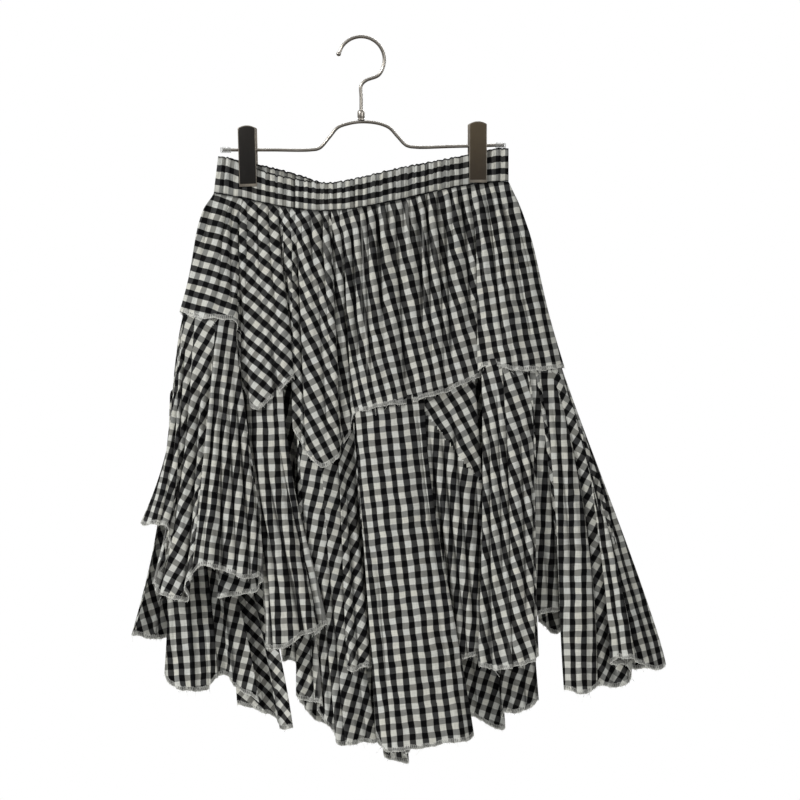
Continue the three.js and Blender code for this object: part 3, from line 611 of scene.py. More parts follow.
def down_lengths(grid):
    """How far each point lies down its own column."""
    steps = np.linalg.norm(np.diff(grid, axis=1), axis=-1)
    return np.concatenate([np.zeros((grid.shape[0], 1)), np.cumsum(steps, axis=1)], axis=1)


def run_along(points):
    """How far each point lies along its line."""
    return np.concatenate([[0], np.cumsum(np.linalg.norm(np.diff(points, axis=0), axis=-1))])


def smoothed(values, reach, **padding):
    """A running mean along the columns, over the reach to each side."""
    kernel = np.ones(2 * reach + 1) / (2 * reach + 1)
    padded = np.pad(values, [(reach, reach)] + [(0, 0)] * (values.ndim - 1), **padding)
    return np.apply_along_axis(lambda line: np.convolve(line, kernel, mode="valid"), 0, padded)


def soft_creases(grid, where, t, creases, side):
    """Moves a grid out along its normals by soft ridges, or in by troughs, each along its own line."""
    across = np.linalg.norm(across_of(grid), axis=-1) / np.maximum(np.gradient(where)[:, None], 1e-6)
    move = np.zeros(grid.shape[:2])
    for crease in creases:
        line = crease.at + crease.shift * (t - crease.start) / max(crease.end - crease.start, 1e-6)
        distance = (where[:, None] - line[None, :]) * across
        inside, at_hem = (smooth(t, crease.start, crease.start + growth) for growth in CREASE_STARTS)
        ending = 1 - smooth(t, crease.end - CREASE_STOPS, crease.end)
        along = at_hem if crease.end >= 1 else inside * ending
        move += crease.depth * np.exp(-((distance / crease.width) ** 2)) * along[None, :]
    return grid + outward_of(grid, side) * move[..., None]


# The flat cloth is worked out from the warp's lean. Each short stretch of the hung cloth has its length and
# its angle to the warp, and the flat points are those whose stretches come closest to all of them.
def spread(steps_across, steps_down, leaving=-1):
    """What a grid's points get from the steps between them, each from where it starts and where it ends."""
    total = np.zeros((steps_down.shape[0], steps_across.shape[1]), complex)
    total[:-1] += leaving * steps_across
    total[1:] += steps_across
    total[:, :-1] += leaving * steps_down
    total[:, 1:] += steps_down
    return total


def settle(place, wanted_across, wanted_down):
    """Moves flat points until the steps between them are as near as can be to those wanted."""
    left = spread(wanted_across, wanted_down) - spread(np.diff(place, axis=0), np.diff(place, axis=1))
    heading = left.copy()
    size = np.vdot(left, left).real
    for _ in range(FLAT_STEPS):
        pull = spread(np.diff(heading, axis=0), np.diff(heading, axis=1))
        share = size / max(np.vdot(heading, pull).real, 1e-12)
        place = place + share * heading
        left = left - share * pull
        new_size = np.vdot(left, left).real
        if new_size < 1e-6:
            break
        heading = left + new_size / size * heading
        size = new_size
    return place


def warp_angles(grid, warp):
    """The angle between each point's fall and its warp, evened out across the gore."""
    rows = grid.shape[1]
    span = max(rows // FALL_SHARE, 1)
    low = np.clip(np.arange(rows) - span, 0, rows - 1)
    high = np.clip(np.arange(rows) + span, 0, rows - 1)
    run = grid[:, high] - grid[:, low]
    lean = np.arctan2(run[..., 0], -run[..., 2])
    return smoothed(lean - warp[:, None], max(len(warp) // EVEN_SHARE, 1), mode="edge")


def flat_gore(grid, warp):
    """One gore's points in the flat cloth, in millimetres, with the warp upright."""
    across = np.diff(grid, axis=0)
    down = np.gradient(grid, axis=1)
    down /= np.maximum(np.linalg.norm(down, axis=-1, keepdims=True), 1e-9)
    along = (across * down[:-1]).sum(axis=-1)
    aside = np.sqrt(np.maximum((across**2).sum(axis=-1) - along**2, 0))
    own_across = aside - 1j * along
    own_down = -1j * np.linalg.norm(np.diff(grid, axis=1), axis=-1)
    turn = np.exp(1j * warp_angles(grid, warp))
    place = np.zeros(grid.shape[:2], complex)
    middle = grid.shape[1] // 2
    place[1:, middle] = np.cumsum((own_across * turn[:-1])[:, middle])
    length = down_lengths(grid)
    place = place[:, middle : middle + 1] - 1j * (length - length[:, middle : middle + 1]) * turn
    for _ in range(FLAT_ROUNDS):
        wanted_across = own_across * (turn[:-1] + turn[1:]) / 2
        wanted_down = own_down * (turn[:, :-1] + turn[:, 1:]) / 2
        place = settle(place, wanted_across, wanted_down)
        match_across = np.conj(own_across) * np.diff(place, axis=0)
        match_down = np.conj(own_down) * np.diff(place, axis=1)
        match = spread(match_across, match_down, leaving=1)
        turn = match / np.maximum(np.abs(match), 1e-9)
    return place


def flat_cloth(name, grid, t, where, folds):
    """Each point's place in the flat cloth, once for each gore, and the gore that each face is cut from."""
    cuts = [int(np.searchsorted(where, cut)) for cut in GORES.get(name, ())]
    edges = [0, *cuts, len(where) - 1]
    columns, rows = grid.shape[:2]
    flats = []
    gore_of = np.zeros((columns - 1, rows - 1), int)
    offset = 0
    for low, high in zip(edges, edges[1:]):
        inside = [k for k in range(len(folds)) if where[low] - 0.01 <= k <= where[high] + 0.01]
        nearest = int(round((where[low] + where[high]) / 2))
        inside = inside or [min(nearest, len(folds) - 1)]
        warp = np.radians(np.interp(where[low : high + 1], inside, [folds[k].warp for k in inside]))
        place = flat_gore(grid[low : high + 1], warp)
        place += offset - place[0].mean()
        offset = place[-1].mean() + GORE_SKIP
        flat = np.zeros((columns, rows, 2))
        flat[low : high + 1] = np.stack([place.real, place.imag], axis=-1)
        gore_of[low:high] = len(flats)
        flats.append(flat)
    if name in CORNERS:
        top, hem, warp = CORNERS[name]
        place = flat_gore(grid, np.full(columns, math.radians(warp)))
        gore_of[where[:-1, None] > mix(top, hem, t[None, :-1])] = len(flats)
        flats.append(np.stack([place.real, place.imag], axis=-1))
    return np.array(flats), gore_of


def one_gore(flat):
    return flat[None], np.zeros((flat.shape[0] - 1, flat.shape[1] - 1), int)


def standing_out(grid, side, reach):
    """How far each point stands out from its neighbours across the folds, in millimetres."""
    mean = smoothed(grid, reach, mode="reflect", reflect_type="odd")
    return ((grid - mean) * outward_of(grid, side)).sum(axis=-1)


def painted_fold_shade(grid, side):
    """Painted shade: 0 on the crests, and 1 at the bottom of a deep trough and where the cloth goes into
    its seam.
    """
    seam = 1 - smooth(down_lengths(grid), *SEAM_SHADE)
    return np.maximum(smooth(-standing_out(grid, side, FOLD_REACH), *FOLD_SHADE_DEPTHS), seam)


def crest_highlight_mask(grid, side):
    """Painted highlight: 0 on flat cloth, and 1 along a sharp ridge."""
    return smooth(standing_out(grid, side, CREST_REACH), *CREST_HIGHLIGHT_HEIGHTS)


def hem_place(grid):
    """Each point's place beside the hem: along the hem, and up from it, in millimetres."""
    along = run_along(grid[:, -1])
    length = down_lengths(grid)
    up = length[:, -1:] - length
    return np.stack([np.repeat(along[:, None], grid.shape[1], axis=1), up], axis=-1)


def mesh_object(name, bm, material):
    """Makes an object of a bmesh."""
    mesh = bpy.data.meshes.new(name)
    bm.to_mesh(mesh)
    bm.free()
    made = bpy.data.objects.new(name, mesh)
    bpy.context.scene.collection.objects.link(made)
    mesh.materials.append(material)
    return made


def new_piece(name, bm, material, slot, *replaced):
    """Makes a piece of the object, riding on the skirt's one body."""
    piece = mesh_object(name, bm, material)
    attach(piece, "root")
    if replaced:
        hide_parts(*replaced)
    return piece


def cloth_piece(name, grid, maps, side, wall, material, *replaced):
    """A thin wall of cloth on a grid of points in millimetres, with its named UV maps."""
    columns, rows = grid.shape[:2]
    bm = bmesh.new()
    bmesh.ops.create_grid(bm, x_segments=columns - 1, y_segments=rows - 1, size=1)
    if side == BACK:
        bmesh.ops.reverse_faces(bm, faces=bm.faces)
    piece = new_piece(name, bm, material, "gingham", *replaced)
    mesh = piece.data
    flat = np.empty(len(mesh.vertices) * 3)
    mesh.vertices.foreach_get("co", flat)
    flat = flat.reshape(-1, 3)
    column = np.rint((flat[:, 0] + 1) / 2 * (columns - 1)).astype(int)
    row = np.rint((1 - flat[:, 1]) / 2 * (rows - 1)).astype(int)
    placed = grid[column, row].copy()
    placed[:, 1] = side * np.maximum(side * placed[:, 1], SIDE_CLEAR)
    mesh.vertices.foreach_set("co", (placed * MM).ravel())
    corners = np.empty(len(mesh.loops), int)
    mesh.loops.foreach_get("vertex_index", corners)
    at = (column[corners], row[corners])
    face = tuple(np.repeat(place.reshape(-1, 4).min(axis=1), 4) for place in at)
    for map_name, (flats, gore_of) in maps.items():
        values = flats[gore_of[face], at[0], at[1]]
        layer = mesh.uv_layers.new(name=map_name)
        layer.uv.foreach_set("vector", (values * MM).astype(np.float32).ravel())
    mesh.polygons.foreach_set("use_smooth", np.ones(len(mesh.polygons), bool))
    mesh.update()
    # the fold attribute carries the painted shade in troughs and under seams, and the crest highlight
    # carries the painted highlight along sharp ridges
    for label, values in (("fold", painted_fold_shade(grid, side)), ("crest", crest_highlight_mask(grid, side))):
        layer = mesh.attributes.new(label, "FLOAT", "POINT")
        layer.data.foreach_set("value", values[column, row].astype(np.float32))
    thick = piece.modifiers.new("wall", "SOLIDIFY")
    thick.thickness = wall * MM
    thick.offset = 0
    return piece


# Creases of each piece: at counts the piece's folds, and start and end are shares of its
# length. Shift is how many folds the crease drifts going down, and a depth below 0 is a trough.
CREASES = {
    "upper_tier_front": (
        Crease(2.4, 0.02, 0.9, 0.3, 6, 3.2), Crease(3.5, 0.02, 0.95, 0.1, 3, -3.6),
        Crease(4.4, 0.1, 0.9, 0.3, 4, 2.6), Crease(5.6, 0.01, 1, 0, 2.4, -5),
        Crease(6.3, 0.03, 0.8, 0.2, 6, 3.4), Crease(7.2, 0.02, 0.5, 0.2, 2.6, -3.2),
        Crease(7.9, 0.3, 1, 0.2, 3, -3), Crease(8.6, 0.05, 0.9, 0.2, 6, 2.8),
        Crease(9.4, 0.01, 1, 0, 2.2, -4.6), Crease(10.2, 0.02, 0.6, 0.3, 5, 3),
        Crease(10.9, 0.25, 0.9, 0.1, 2.6, -3), Crease(11.5, 0.05, 0.7, 0.2, 5, 2.8),
        Crease(12.1, 0.01, 1, 0, 2.2, -4.6), Crease(12.7, 0.02, 0.6, 0.2, 4, 3),
        Crease(13.3, 0.15, 0.95, 0.1, 2.6, -3.2), Crease(14, 0.02, 0.8, 0.2, 5, 2.8),
        Crease(14.6, 0.01, 0.9, 0, 2.2, -4), Crease(15.3, 0.05, 0.7, 0.2, 4, 2.6),
        Crease(16, 0.1, 0.9, 0.2, 2.6, -3), Crease(16.8, 0.02, 0.75, 0.1, 4, 2.6),
        Crease(17.4, 0.05, 0.8, 0.1, 2.4, -3.4), Crease(17.9, 0.02, 0.65, 0.1, 4, 3),
        Crease(18.2, 0.03, 0.9, 0.1, 2.4, -3.4), Crease(18.5, 0.1, 1, 0.1, 5, 2.4),
        Crease(18.8, 0.02, 0.6, 0, 2.2, -3.6), Crease(19.1, 0.02, 0.8, 0.1, 4, 3),
        Crease(19.4, 0.05, 0.95, 0.1, 2.4, -3.2), Crease(19.8, 0.1, 1, 0.1, 5, 2.6),
        Crease(20.1, 0.02, 0.7, 0, 2.2, -3.6), Crease(20.5, 0.02, 0.6, 0.1, 4, 2.8),
        Crease(20.9, 0.05, 0.9, 0.1, 2.6, -3.2), Crease(21.3, 0.02, 0.8, 0.2, 5, 2.8),
        Crease(21.8, 0.02, 0.7, 0.1, 2.2, -3.4), Crease(22.5, 0.1, 1, 0.2, 3, 2.4),
        Crease(23.4, 0.02, 1, 0.1, 2.4, -3.6), Crease(24.6, 0.05, 0.9, 0.2, 4, 2.8),
        Crease(25.3, 0.02, 0.95, 0.2, 2.4, -4), Crease(25.9, 0.1, 1, 0.1, 5, 2.6),
        Crease(26.5, 0.05, 0.9, 0.1, 2.6, -3.2), Crease(27.1, 0.1, 1, 0.1, 4, 2.4),
    ),
    "upper_tier_back": (
        Crease(1.4, 0.02, 0.9, 0.2, 4, 2.8), Crease(1.9, 0.02, 0.95, 0.1, 2.4, -3.6),
        Crease(2.6, 0.05, 0.8, 0.2, 5, 2.8), Crease(3.3, 0.02, 0.9, 0.1, 2.4, -3.6),
        Crease(4, 0.1, 1, 0.1, 5, 2.6), Crease(4.6, 0.02, 0.7, 0.2, 2.4, -3.4),
        Crease(5.3, 0.02, 0.9, 0.1, 5, 2.8), Crease(5.9, 0.05, 1, 0.1, 2.4, -3.4),
        Crease(6.6, 0.02, 0.8, 0.1, 5, 3), Crease(7.2, 0.02, 0.9, 0, 2.2, -3.6),
        Crease(7.8, 0.1, 1, 0.1, 5, 2.6), Crease(8.4, 0.02, 0.7, 0.1, 2.4, -3.4),
        Crease(9.1, 0.02, 0.9, 0.1, 4, 2.8), Crease(9.7, 0.05, 0.95, 0.1, 2.4, -3.2),
        Crease(10.4, 0.02, 0.8, 0.1, 5, 2.8), Crease(11, 0.02, 0.9, 0.1, 2.2, -3.6),
        Crease(11.7, 0.1, 1, 0.1, 5, 2.6), Crease(12.3, 0.02, 0.8, 0.1, 2.4, -3.4),
        Crease(13, 0.05, 0.9, 0.1, 4, 2.8), Crease(13.7, 0.05, 1, 0.1, 2.6, -3.2),
    ),
    "flounce_left": (
        Crease(1.6, 0.2, 0.8, 0, 3, 2.4), Crease(2.4, 0.05, 1, 0, 2.2, -3.6),
        Crease(3.2, 0.15, 0.9, 0.1, 3, 2.2), Crease(4, 0.1, 0.8, 0.1, 2.4, -3.4),
        Crease(4.7, 0.3, 1, 0.1, 3, 2.2), Crease(5.3, 0.05, 1, 0, 2, -3.6),
        Crease(6, 0.15, 0.9, 0.1, 3, 2.4), Crease(6.7, 0.1, 1, 0.1, 2.4, -3.2),
        Crease(7.4, 0.2, 0.95, 0.1, 4, 2.6), Crease(8.1, 0.1, 0.9, 0.1, 2.4, -3.4),
        Crease(8.7, 0.02, 1, 0, 2.2, -5.4), Crease(9.3, 0.03, 0.9, 0.1, 3.6, 2.6),
        Crease(9.9, 0.2, 1, 0.1, 2.2, -3), Crease(10.3, 0.15, 1, 0.1, 3, 2.2),
        Crease(10.75, 0.25, 1, 0.1, 2.2, -4), Crease(11.1, 0.1, 0.95, 0.1, 3, 2.4),
        Crease(11.45, 0.3, 1, 0.1, 2.2, -3.6), Crease(11.8, 0.12, 1, 0.1, 3, 2.2),
        Crease(12.15, 0.2, 1, 0.1, 2.2, -4), Crease(12.5, 0.2, 1, 0.05, 3, 2.2),
        Crease(12.85, 0.3, 1, 0.05, 2.4, -3.4), Crease(13.6, 0.05, 1, 0, 2.2, -3.6),
    ),
    "flounce_mid_left": (
        Crease(0.9, 0.1, 1, 0, 3, 2), Crease(1.7, 0.1, 1, 0, 2.4, -3.4),
        Crease(2.2, 0.1, 0.9, 0.1, 3, 2.2), Crease(2.6, 0.05, 1, 0, 2.2, -4.4),
        Crease(3.2, 0.15, 1, 0.1, 4, 2.4), Crease(3.8, 0.1, 0.9, 0.1, 2.4, -3.2),
        Crease(4.4, 0.1, 1, 0, 4, 2.2), Crease(4.9, 0.1, 1, 0, 2.4, -3.6),
        Crease(5.4, 0.3, 1, 0, 4, 2.4), Crease(5.9, 0.1, 1, 0.1, 2.2, -3.2),
        Crease(6.4, 0.05, 1, 0, 2.2, -4), Crease(7, 0.2, 1, 0, 3, 2),
    ),
    "flounce_inner": (
        Crease(1.6, 0.2, 1, 0, 2.4, -2.6), Crease(2.5, 0.2, 1, 0, 3, 2),
        Crease(3.5, 0.1, 1, 0, 2.2, -3.4), Crease(4.3, 0.3, 1, 0.1, 3, 2.2),
        Crease(5, 0.2, 1, 0, 2.2, -3), Crease(5.7, 0.3, 1, 0, 3, 2.2),
        Crease(6.4, 0.3, 1, 0.1, 2.2, -3), Crease(7, 0.3, 1, 0, 3, 2),
        Crease(7.6, 0.2, 1, 0, 2.2, -3.4), Crease(8.4, 0.3, 1, 0.1, 4, 2.2),
        Crease(9.2, 0.3, 1, 0, 2.4, -2.6),
    ),
    "godet_centre_left": (
        Crease(0.8, 0.1, 1, 0.1, 3, 2), Crease(1.4, 0.1, 1, 0.1, 2.4, -3),
        Crease(2.2, 0.15, 1, 0.1, 4, 2.4), Crease(2.9, 0.1, 1, 0, 2.4, -3.2),
        Crease(3.5, 0.2, 1, 0, 3, 1.8),
    ),
    "panel_centre": (
        Crease(1.9, 0.1, 0.9, 0.1, 3, 1.6), Crease(2.6, 0.3, 1, -0.2, 2.2, -2.6),
        Crease(3.4, 0.1, 1, 0.1, 5, 1.6), Crease(4.3, 0.1, 0.8, 0.05, 2.2, -1.4),
        Crease(5, 0.1, 0.9, 0.1, 6, 1.8), Crease(5.7, 0.2, 0.9, 0, 2.2, -1.4),
        Crease(6.4, 0.02, 0.6, 0.1, 2.2, -3), Crease(6.8, 0.1, 1, 0.1, 4, 1.8),
    ),
    "godet_centre_right": (
        Crease(0.9, 0.2, 1, 0.1, 3, 2), Crease(1.6, 0.05, 1, 0.2, 2.4, -3.4),
        Crease(2.1, 0.1, 1, 0.1, 3, 2.2), Crease(2.6, 0.05, 1, 0.1, 2.2, -4),
        Crease(3.3, 0.1, 1, 0.1, 4, 2.6), Crease(3.9, 0.1, 0.9, 0, 2.2, -3.4),
        Crease(4.5, 0.1, 1, 0, 4, 2.2), Crease(5.2, 0.2, 1, 0, 2.4, -2.8),
    ),
    "flounce_right": (
        Crease(1.2, 0.1, 1, 0, 3, 2), Crease(1.8, 0.05, 1, 0, 2.2, -3.4),
        Crease(2.3, 0.1, 1, 0.1, 3, 2.4), Crease(2.8, 0.05, 0.8, 0.1, 2.2, -3.2),
        Crease(3.4, 0.05, 1, 0.05, 2.2, -4.4), Crease(3.9, 0.1, 1, 0.1, 4, 2.6),
        Crease(4.4, 0.2, 0.9, 0.1, 2.2, -3), Crease(4.9, 0.1, 1, 0.05, 4, 2.6),
        Crease(5.4, 0.05, 1, 0, 2.4, -3.4), Crease(6.2, 0.1, 1, 0, 2.2, -3.2),
    ),
    "flounce_right_inner": (
        Crease(1, 0.2, 1, 0, 2.4, -2.4), Crease(1.8, 0.2, 1, 0, 3, 2),
        Crease(2.6, 0.2, 1, 0, 2.4, -2.4), Crease(3.5, 0.2, 1, 0, 2.2, -3),
        Crease(4.4, 0.3, 1, 0, 3, 1.8),
    ),
    "flounce_side_right": (
        Crease(1.5, 0.1, 1, 0, 3, 2.2), Crease(2.4, 0.05, 1, 0, 2.2, -2.6),
        Crease(3.2, 0.1, 1, 0, 4, 2.4), Crease(5, 0.05, 1, 0, 2.4, -3.6),
        Crease(6.3, 0.2, 1, 0.1, 3, 2), Crease(7.2, 0.2, 1, 0.1, 2.4, -2.4),
        Crease(9.5, 0.05, 1, 0, 2.6, -4.6), Crease(10.3, 0.1, 1, 0, 4, 2.2),
        Crease(11.1, 0.1, 1, 0.1, 2.2, -2.6), Crease(11.8, 0.05, 1, 0.1, 4, 2.6),
        Crease(12.4, 0.02, 1, 0.1, 2, -3.6), Crease(13, 0.05, 1, 0.1, 4, 2.6),
        Crease(13.9, 0.2, 1, 0.1, 2.4, -2.2),
    ),
    "back_flounce_left": (
        Crease(1.4, 0.1, 1, 0, 3, 2.4), Crease(2, 0.05, 1, 0, 2.2, -3.4),
        Crease(2.7, 0.1, 1, 0.1, 4, 2.4), Crease(3.4, 0.1, 0.9, 0.1, 2.4, -3),
        Crease(4.5, 0.05, 1, 0, 2.2, -3.8), Crease(5.6, 0.2, 1, 0.1, 3, 2.2),
        Crease(6.4, 0.1, 1, 0.1, 2.4, -3), Crease(7.4, 0.2, 1, 0, 4, 2.4),
        Crease(8.4, 0.05, 1, 0, 2.2, -3.8), Crease(9.2, 0.2, 1, 0.1, 3, 2.4),
        Crease(9.9, 0.1, 1, 0, 2.4, -2.8),
    ),
    "back_flounce_corner": (
        Crease(0.8, 0.2, 1, 0, 3, 2), Crease(1.4, 0.1, 1, 0, 2.4, -2.8), Crease(2.1, 0.2, 1, 0, 4, 2.2),
        Crease(2.9, 0.1, 1, 0, 2.4, -3),
    ),
    "back_panel_centre": (
        Crease(0.9, 0.1, 1, 0, 4, 2.2), Crease(1.7, 0.05, 1, 0.1, 2.4, -3.2),
        Crease(2.6, 0.1, 1, 0, 4, 2.4), Crease(3.5, 0.05, 1, 0, 2.2, -3.8),
        Crease(4.4, 0.1, 0.9, 0.1, 4, 2.6), Crease(5.2, 0.1, 1, 0.1, 2.4, -3.2),
        Crease(6, 0.2, 1, 0, 4, 2.4), Crease(6.7, 0.05, 0.8, 0.1, 2.4, -3),
        Crease(7.4, 0.05, 1, 0, 2.2, -3.8), Crease(8.3, 0.1, 1, 0.1, 4, 2.6),
        Crease(9.1, 0.1, 1, 0, 2.4, -3), Crease(9.9, 0.2, 1, 0, 4, 2.4),
        Crease(10.6, 0.05, 1, 0, 2.2, -3.6), Crease(11.5, 0.1, 1, 0.1, 4, 2.2),
        Crease(12.3, 0.1, 1, 0, 2.4, -2.8),
    ),
    "back_flounce_right": (
        Crease(1.2, 0.2, 1, 0, 3, 2.2), Crease(2.1, 0.05, 1, 0.1, 2.4, -3.2),
        Crease(3.2, 0.1, 1, 0, 4, 2.4), Crease(4.4, 0.1, 0.9, 0, 2.4, -3),
        Crease(5.5, 0.05, 1, 0, 2.2, -3.6), Crease(6.8, 0.2, 1, 0, 4, 2.2),
        Crease(7.9, 0.1, 1, 0.1, 2.4, -2.8), Crease(9.4, 0.05, 1, 0, 2.2, -3.4),
        Crease(10.2, 0.2, 1, 0, 3, 2),
    ),
    "back_flounce_side_right": (
        Crease(1.2, 0.1, 1, 0, 3, 2.2), Crease(2.2, 0.05, 1, 0, 2.4, -3),
        Crease(3.5, 0.05, 1, 0, 2.2, -3.6), Crease(4.5, 0.1, 1, 0.1, 4, 2.4),
        Crease(5.6, 0.1, 1, 0.1, 2.4, -3.2), Crease(6.6, 0.05, 1, 0, 2.2, -3.6),
        Crease(7.4, 0.1, 1, 0.1, 4, 2.6), Crease(8.1, 0.1, 1, 0.1, 2.4, -3.2),
        Crease(8.8, 0.2, 1, 0, 4, 2.4),
    ),
}


def add_node(tree, kind, *values, **settings):
    """Adds a shader node, and sets or links its inputs in order. None leaves an input as it is."""
    made = tree.nodes.new("ShaderNode" + kind)
    for key, value in settings.items():
        setattr(made, key, value)
    for socket, value in zip(made.inputs, values):
        if isinstance(value, bpy.types.NodeSocket):
            tree.links.new(value, socket)
        elif value is not None:
            socket.default_value = value
    return made


def maths(tree, operation, *values, clamp=False):
    return add_node(tree, "Math", *values, operation=operation, use_clamp=clamp).outputs[0]


def mix_colours(tree, factor, first, second, blend="MIX"):
    mixed = tree.nodes.new("ShaderNodeMix")
    mixed.data_type = "RGBA"
    mixed.blend_type = blend
    for socket, value in zip((mixed.inputs[0], mixed.inputs[6], mixed.inputs[7]), (factor, first, second)):
        if isinstance(value, bpy.types.NodeSocket):
            tree.links.new(value, socket)
        else:
            socket.default_value = value
    return mixed.outputs[2]


def between(tree, value, low, high, bottom=0.0, top=1.0):
    """A smooth step of a value from bottom to top."""
    limits = (low, high, bottom, top)
    return add_node(tree, "MapRange", value, *limits, interpolation_type="SMOOTHSTEP").outputs[0]


def noise_at(tree, place, scale, detail=2, **settings):
    """A noise texture's outputs."""
    noise = add_node(tree, "TexNoise", place, **settings)
    noise.inputs["Scale"].default_value = scale
    noise.inputs["Detail"].default_value = detail
    return noise.outputs


def stretched(tree, place, stretch):
    return add_node(tree, "VectorMath", place, stretch, operation="MULTIPLY").outputs[0]


def add_bump(tree, shader, height, strength, distance):
    bump = add_node(tree, "Bump")
    bump.inputs["Strength"].default_value = strength
    bump.inputs["Distance"].default_value = distance
    tree.links.new(height, bump.inputs["Height"])
    tree.links.new(bump.outputs[0], shader.inputs["Normal"])


def new_group(name, inputs, outputs):
    """An empty node group with its sockets, and its own input and output nodes."""
    tree = bpy.data.node_groups.new(name, "ShaderNodeTree")
    for label, kind in inputs:
        tree.interface.new_socket(name=label, in_out="INPUT", socket_type="NodeSocket" + kind)
    for label, kind in outputs:
        tree.interface.new_socket(name=label, in_out="OUTPUT", socket_type="NodeSocket" + kind)
    return tree, tree.nodes.new("NodeGroupInput").outputs, tree.nodes.new("NodeGroupOutput").inputs


def use_group(tree, group, **values):
    """Places a node group in a material. Its inputs are named in the call, with _ for a space."""
    made = tree.nodes.new("ShaderNodeGroup")
    made.node_tree = group
    for key, value in values.items():
        socket = made.inputs[key.replace("_", " ")]
        if isinstance(value, bpy.types.NodeSocket):
            tree.links.new(value, socket)
        else:
            socket.default_value = value
    return made.outputs


def check_group():
    """The gingham's dyed stripes: where the dark warp lies, and where the dark weft lies."""
    if "gingham_check" in bpy.data.node_groups:
        return bpy.data.node_groups["gingham_check"]
    tree, given, result = new_group(
        "gingham_check",
        [("Vector", "Vector"), ("Repeat", "Float"), ("Softness", "Float"), ("Wander", "Float")],
        [("Warp", "Float"), ("Weft", "Float"), ("Square", "Float")],
    )
    noise = noise_at(tree, given["Vector"], 42, noise_dimensions="2D")
    centred = add_node(tree, "VectorMath", noise["Color"], (0.5, 0.5, 0.5), operation="SUBTRACT").outputs[0]
    wander = add_node(tree, "VectorMath", centred, operation="SCALE")
    tree.links.new(given["Wander"], wander.inputs["Scale"])
    place = add_node(tree, "VectorMath", given["Vector"], wander.outputs[0], operation="ADD").outputs[0]
    axes = add_node(tree, "SeparateXYZ", place).outputs
    halves = []
    for axis, label in (("X", "Warp"), ("Y", "Weft")):
        repeats = maths(tree, "DIVIDE", axes[axis], given["Repeat"])
        share = maths(tree, "FRACT", repeats)
        from_middle = maths(tree, "ABSOLUTE", maths(tree, "SUBTRACT", share, 0.75))
        edge = maths(tree, "DIVIDE", maths(tree, "SUBTRACT", 0.25, from_middle), given["Softness"])
        tree.links.new(maths(tree, "ADD", edge, 0.5, clamp=True), result[label])
        halves.append(maths(tree, "FLOOR", maths(tree, "MULTIPLY", repeats, 2.0)))
    square = add_node(tree, "CombineXYZ", *halves).outputs[0]
    shade = add_node(tree, "TexWhiteNoise", square, noise_dimensions="2D")
    tree.links.new(shade.outputs["Value"], result["Square"])
    return tree


def weave_group():
    """Plain weave: the height of its threads, and the uneven thickness of the yarn along both ways."""
    if "plain_weave" in bpy.data.node_groups:
        return bpy.data.node_groups["plain_weave"]
    tree, given, result = new_group(
        "plain_weave",
        [("Vector", "Vector"), ("Thread", "Float")],
        [("Height", "Float"), ("Slubs", "Float")],
    )
    axes = add_node(tree, "SeparateXYZ", given["Vector"]).outputs
    waves = []
    for axis in ("X", "Y"):
        turns = maths(tree, "DIVIDE", maths(tree, "MULTIPLY", axes[axis], math.pi), given["Thread"])
        waves.append(maths(tree, "SINE", turns))
    tree.links.new(maths(tree, "MULTIPLY_ADD", maths(tree, "MULTIPLY", *waves), 0.5, 0.5), result["Height"])
    slubs = []
    for stretch in ((1500, 50, 1), (50, 1500, 1)):
        along = stretched(tree, given["Vector"], stretch)
        slubs.append(noise_at(tree, along, 1, noise_dimensions="2D")[0])
    tree.links.new(maths(tree, "MULTIPLY", maths(tree, "ADD", *slubs), 0.5), result["Slubs"])
    return tree


def overcast_group():
    """Overcast stitching beside a cut edge: slanted loops of thread, and a row of small needle stitches."""
    if "overcast_edge" in bpy.data.node_groups:
        return bpy.data.node_groups["overcast_edge"]
    tree, given, result = new_group(
        "overcast_edge",
        [("Vector", "Vector"), ("Width", "Float"), ("Stitch", "Float")],
        [("Mask", "Float"), ("Loops", "Float"), ("Needle", "Float"), ("Lip", "Float")],
    )
    axes = add_node(tree, "SeparateXYZ", given["Vector"]).outputs
    noise = noise_at(tree, given["Vector"], 420, noise_dimensions="2D")
    uneven = maths(tree, "MULTIPLY_ADD", noise[0], 0.0022, -0.0011)
    up = maths(tree, "ADD", axes["Y"], uneven)
    share = maths(tree, "DIVIDE", up, given["Width"])
    tree.links.new(between(tree, share, 1.08, 0.92), result["Mask"])
    slanted = maths(tree, "MULTIPLY_ADD", up, 0.45, maths(tree, "MULTIPLY_ADD", uneven, 0.6, axes["X"]))
    loop = maths(tree, "FRACT", maths(tree, "DIVIDE", slanted, given["Stitch"]))
    from_ridge = maths(tree, "ABSOLUTE", maths(tree, "MULTIPLY_ADD", loop, 2.0, -1.0))
    ridge = maths(tree, "SUBTRACT", 1.0, from_ridge)
    tree.links.new(between(tree, ridge, 0.15, 0.6), result["Loops"])
    tree.links.new(between(tree, share, 0.22, 0.08), result["Lip"])
    row = maths(tree, "ABSOLUTE", maths(tree, "SUBTRACT", share, 0.66))
    stitches = maths(tree, "FRACT", maths(tree, "DIVIDE", axes["X"], given["Stitch"]))
    dash = between(tree, stitches, 0.4, 0.6)
    groups = noise_at(tree, given["Vector"], 110, noise_dimensions="2D")
    here = maths(tree, "MULTIPLY", between(tree, groups[0], 0.47, 0.54), dash)
    tree.links.new(maths(tree, "MULTIPLY", between(tree, row, 0.34, 0.16), here), result["Needle"])
    return tree


def new_material(name):
    """A material with its Principled shader."""
    made = bpy.data.materials.new(name)
    made.use_nodes = True
    return made, made.node_tree, made.node_tree.nodes["Principled BSDF"]


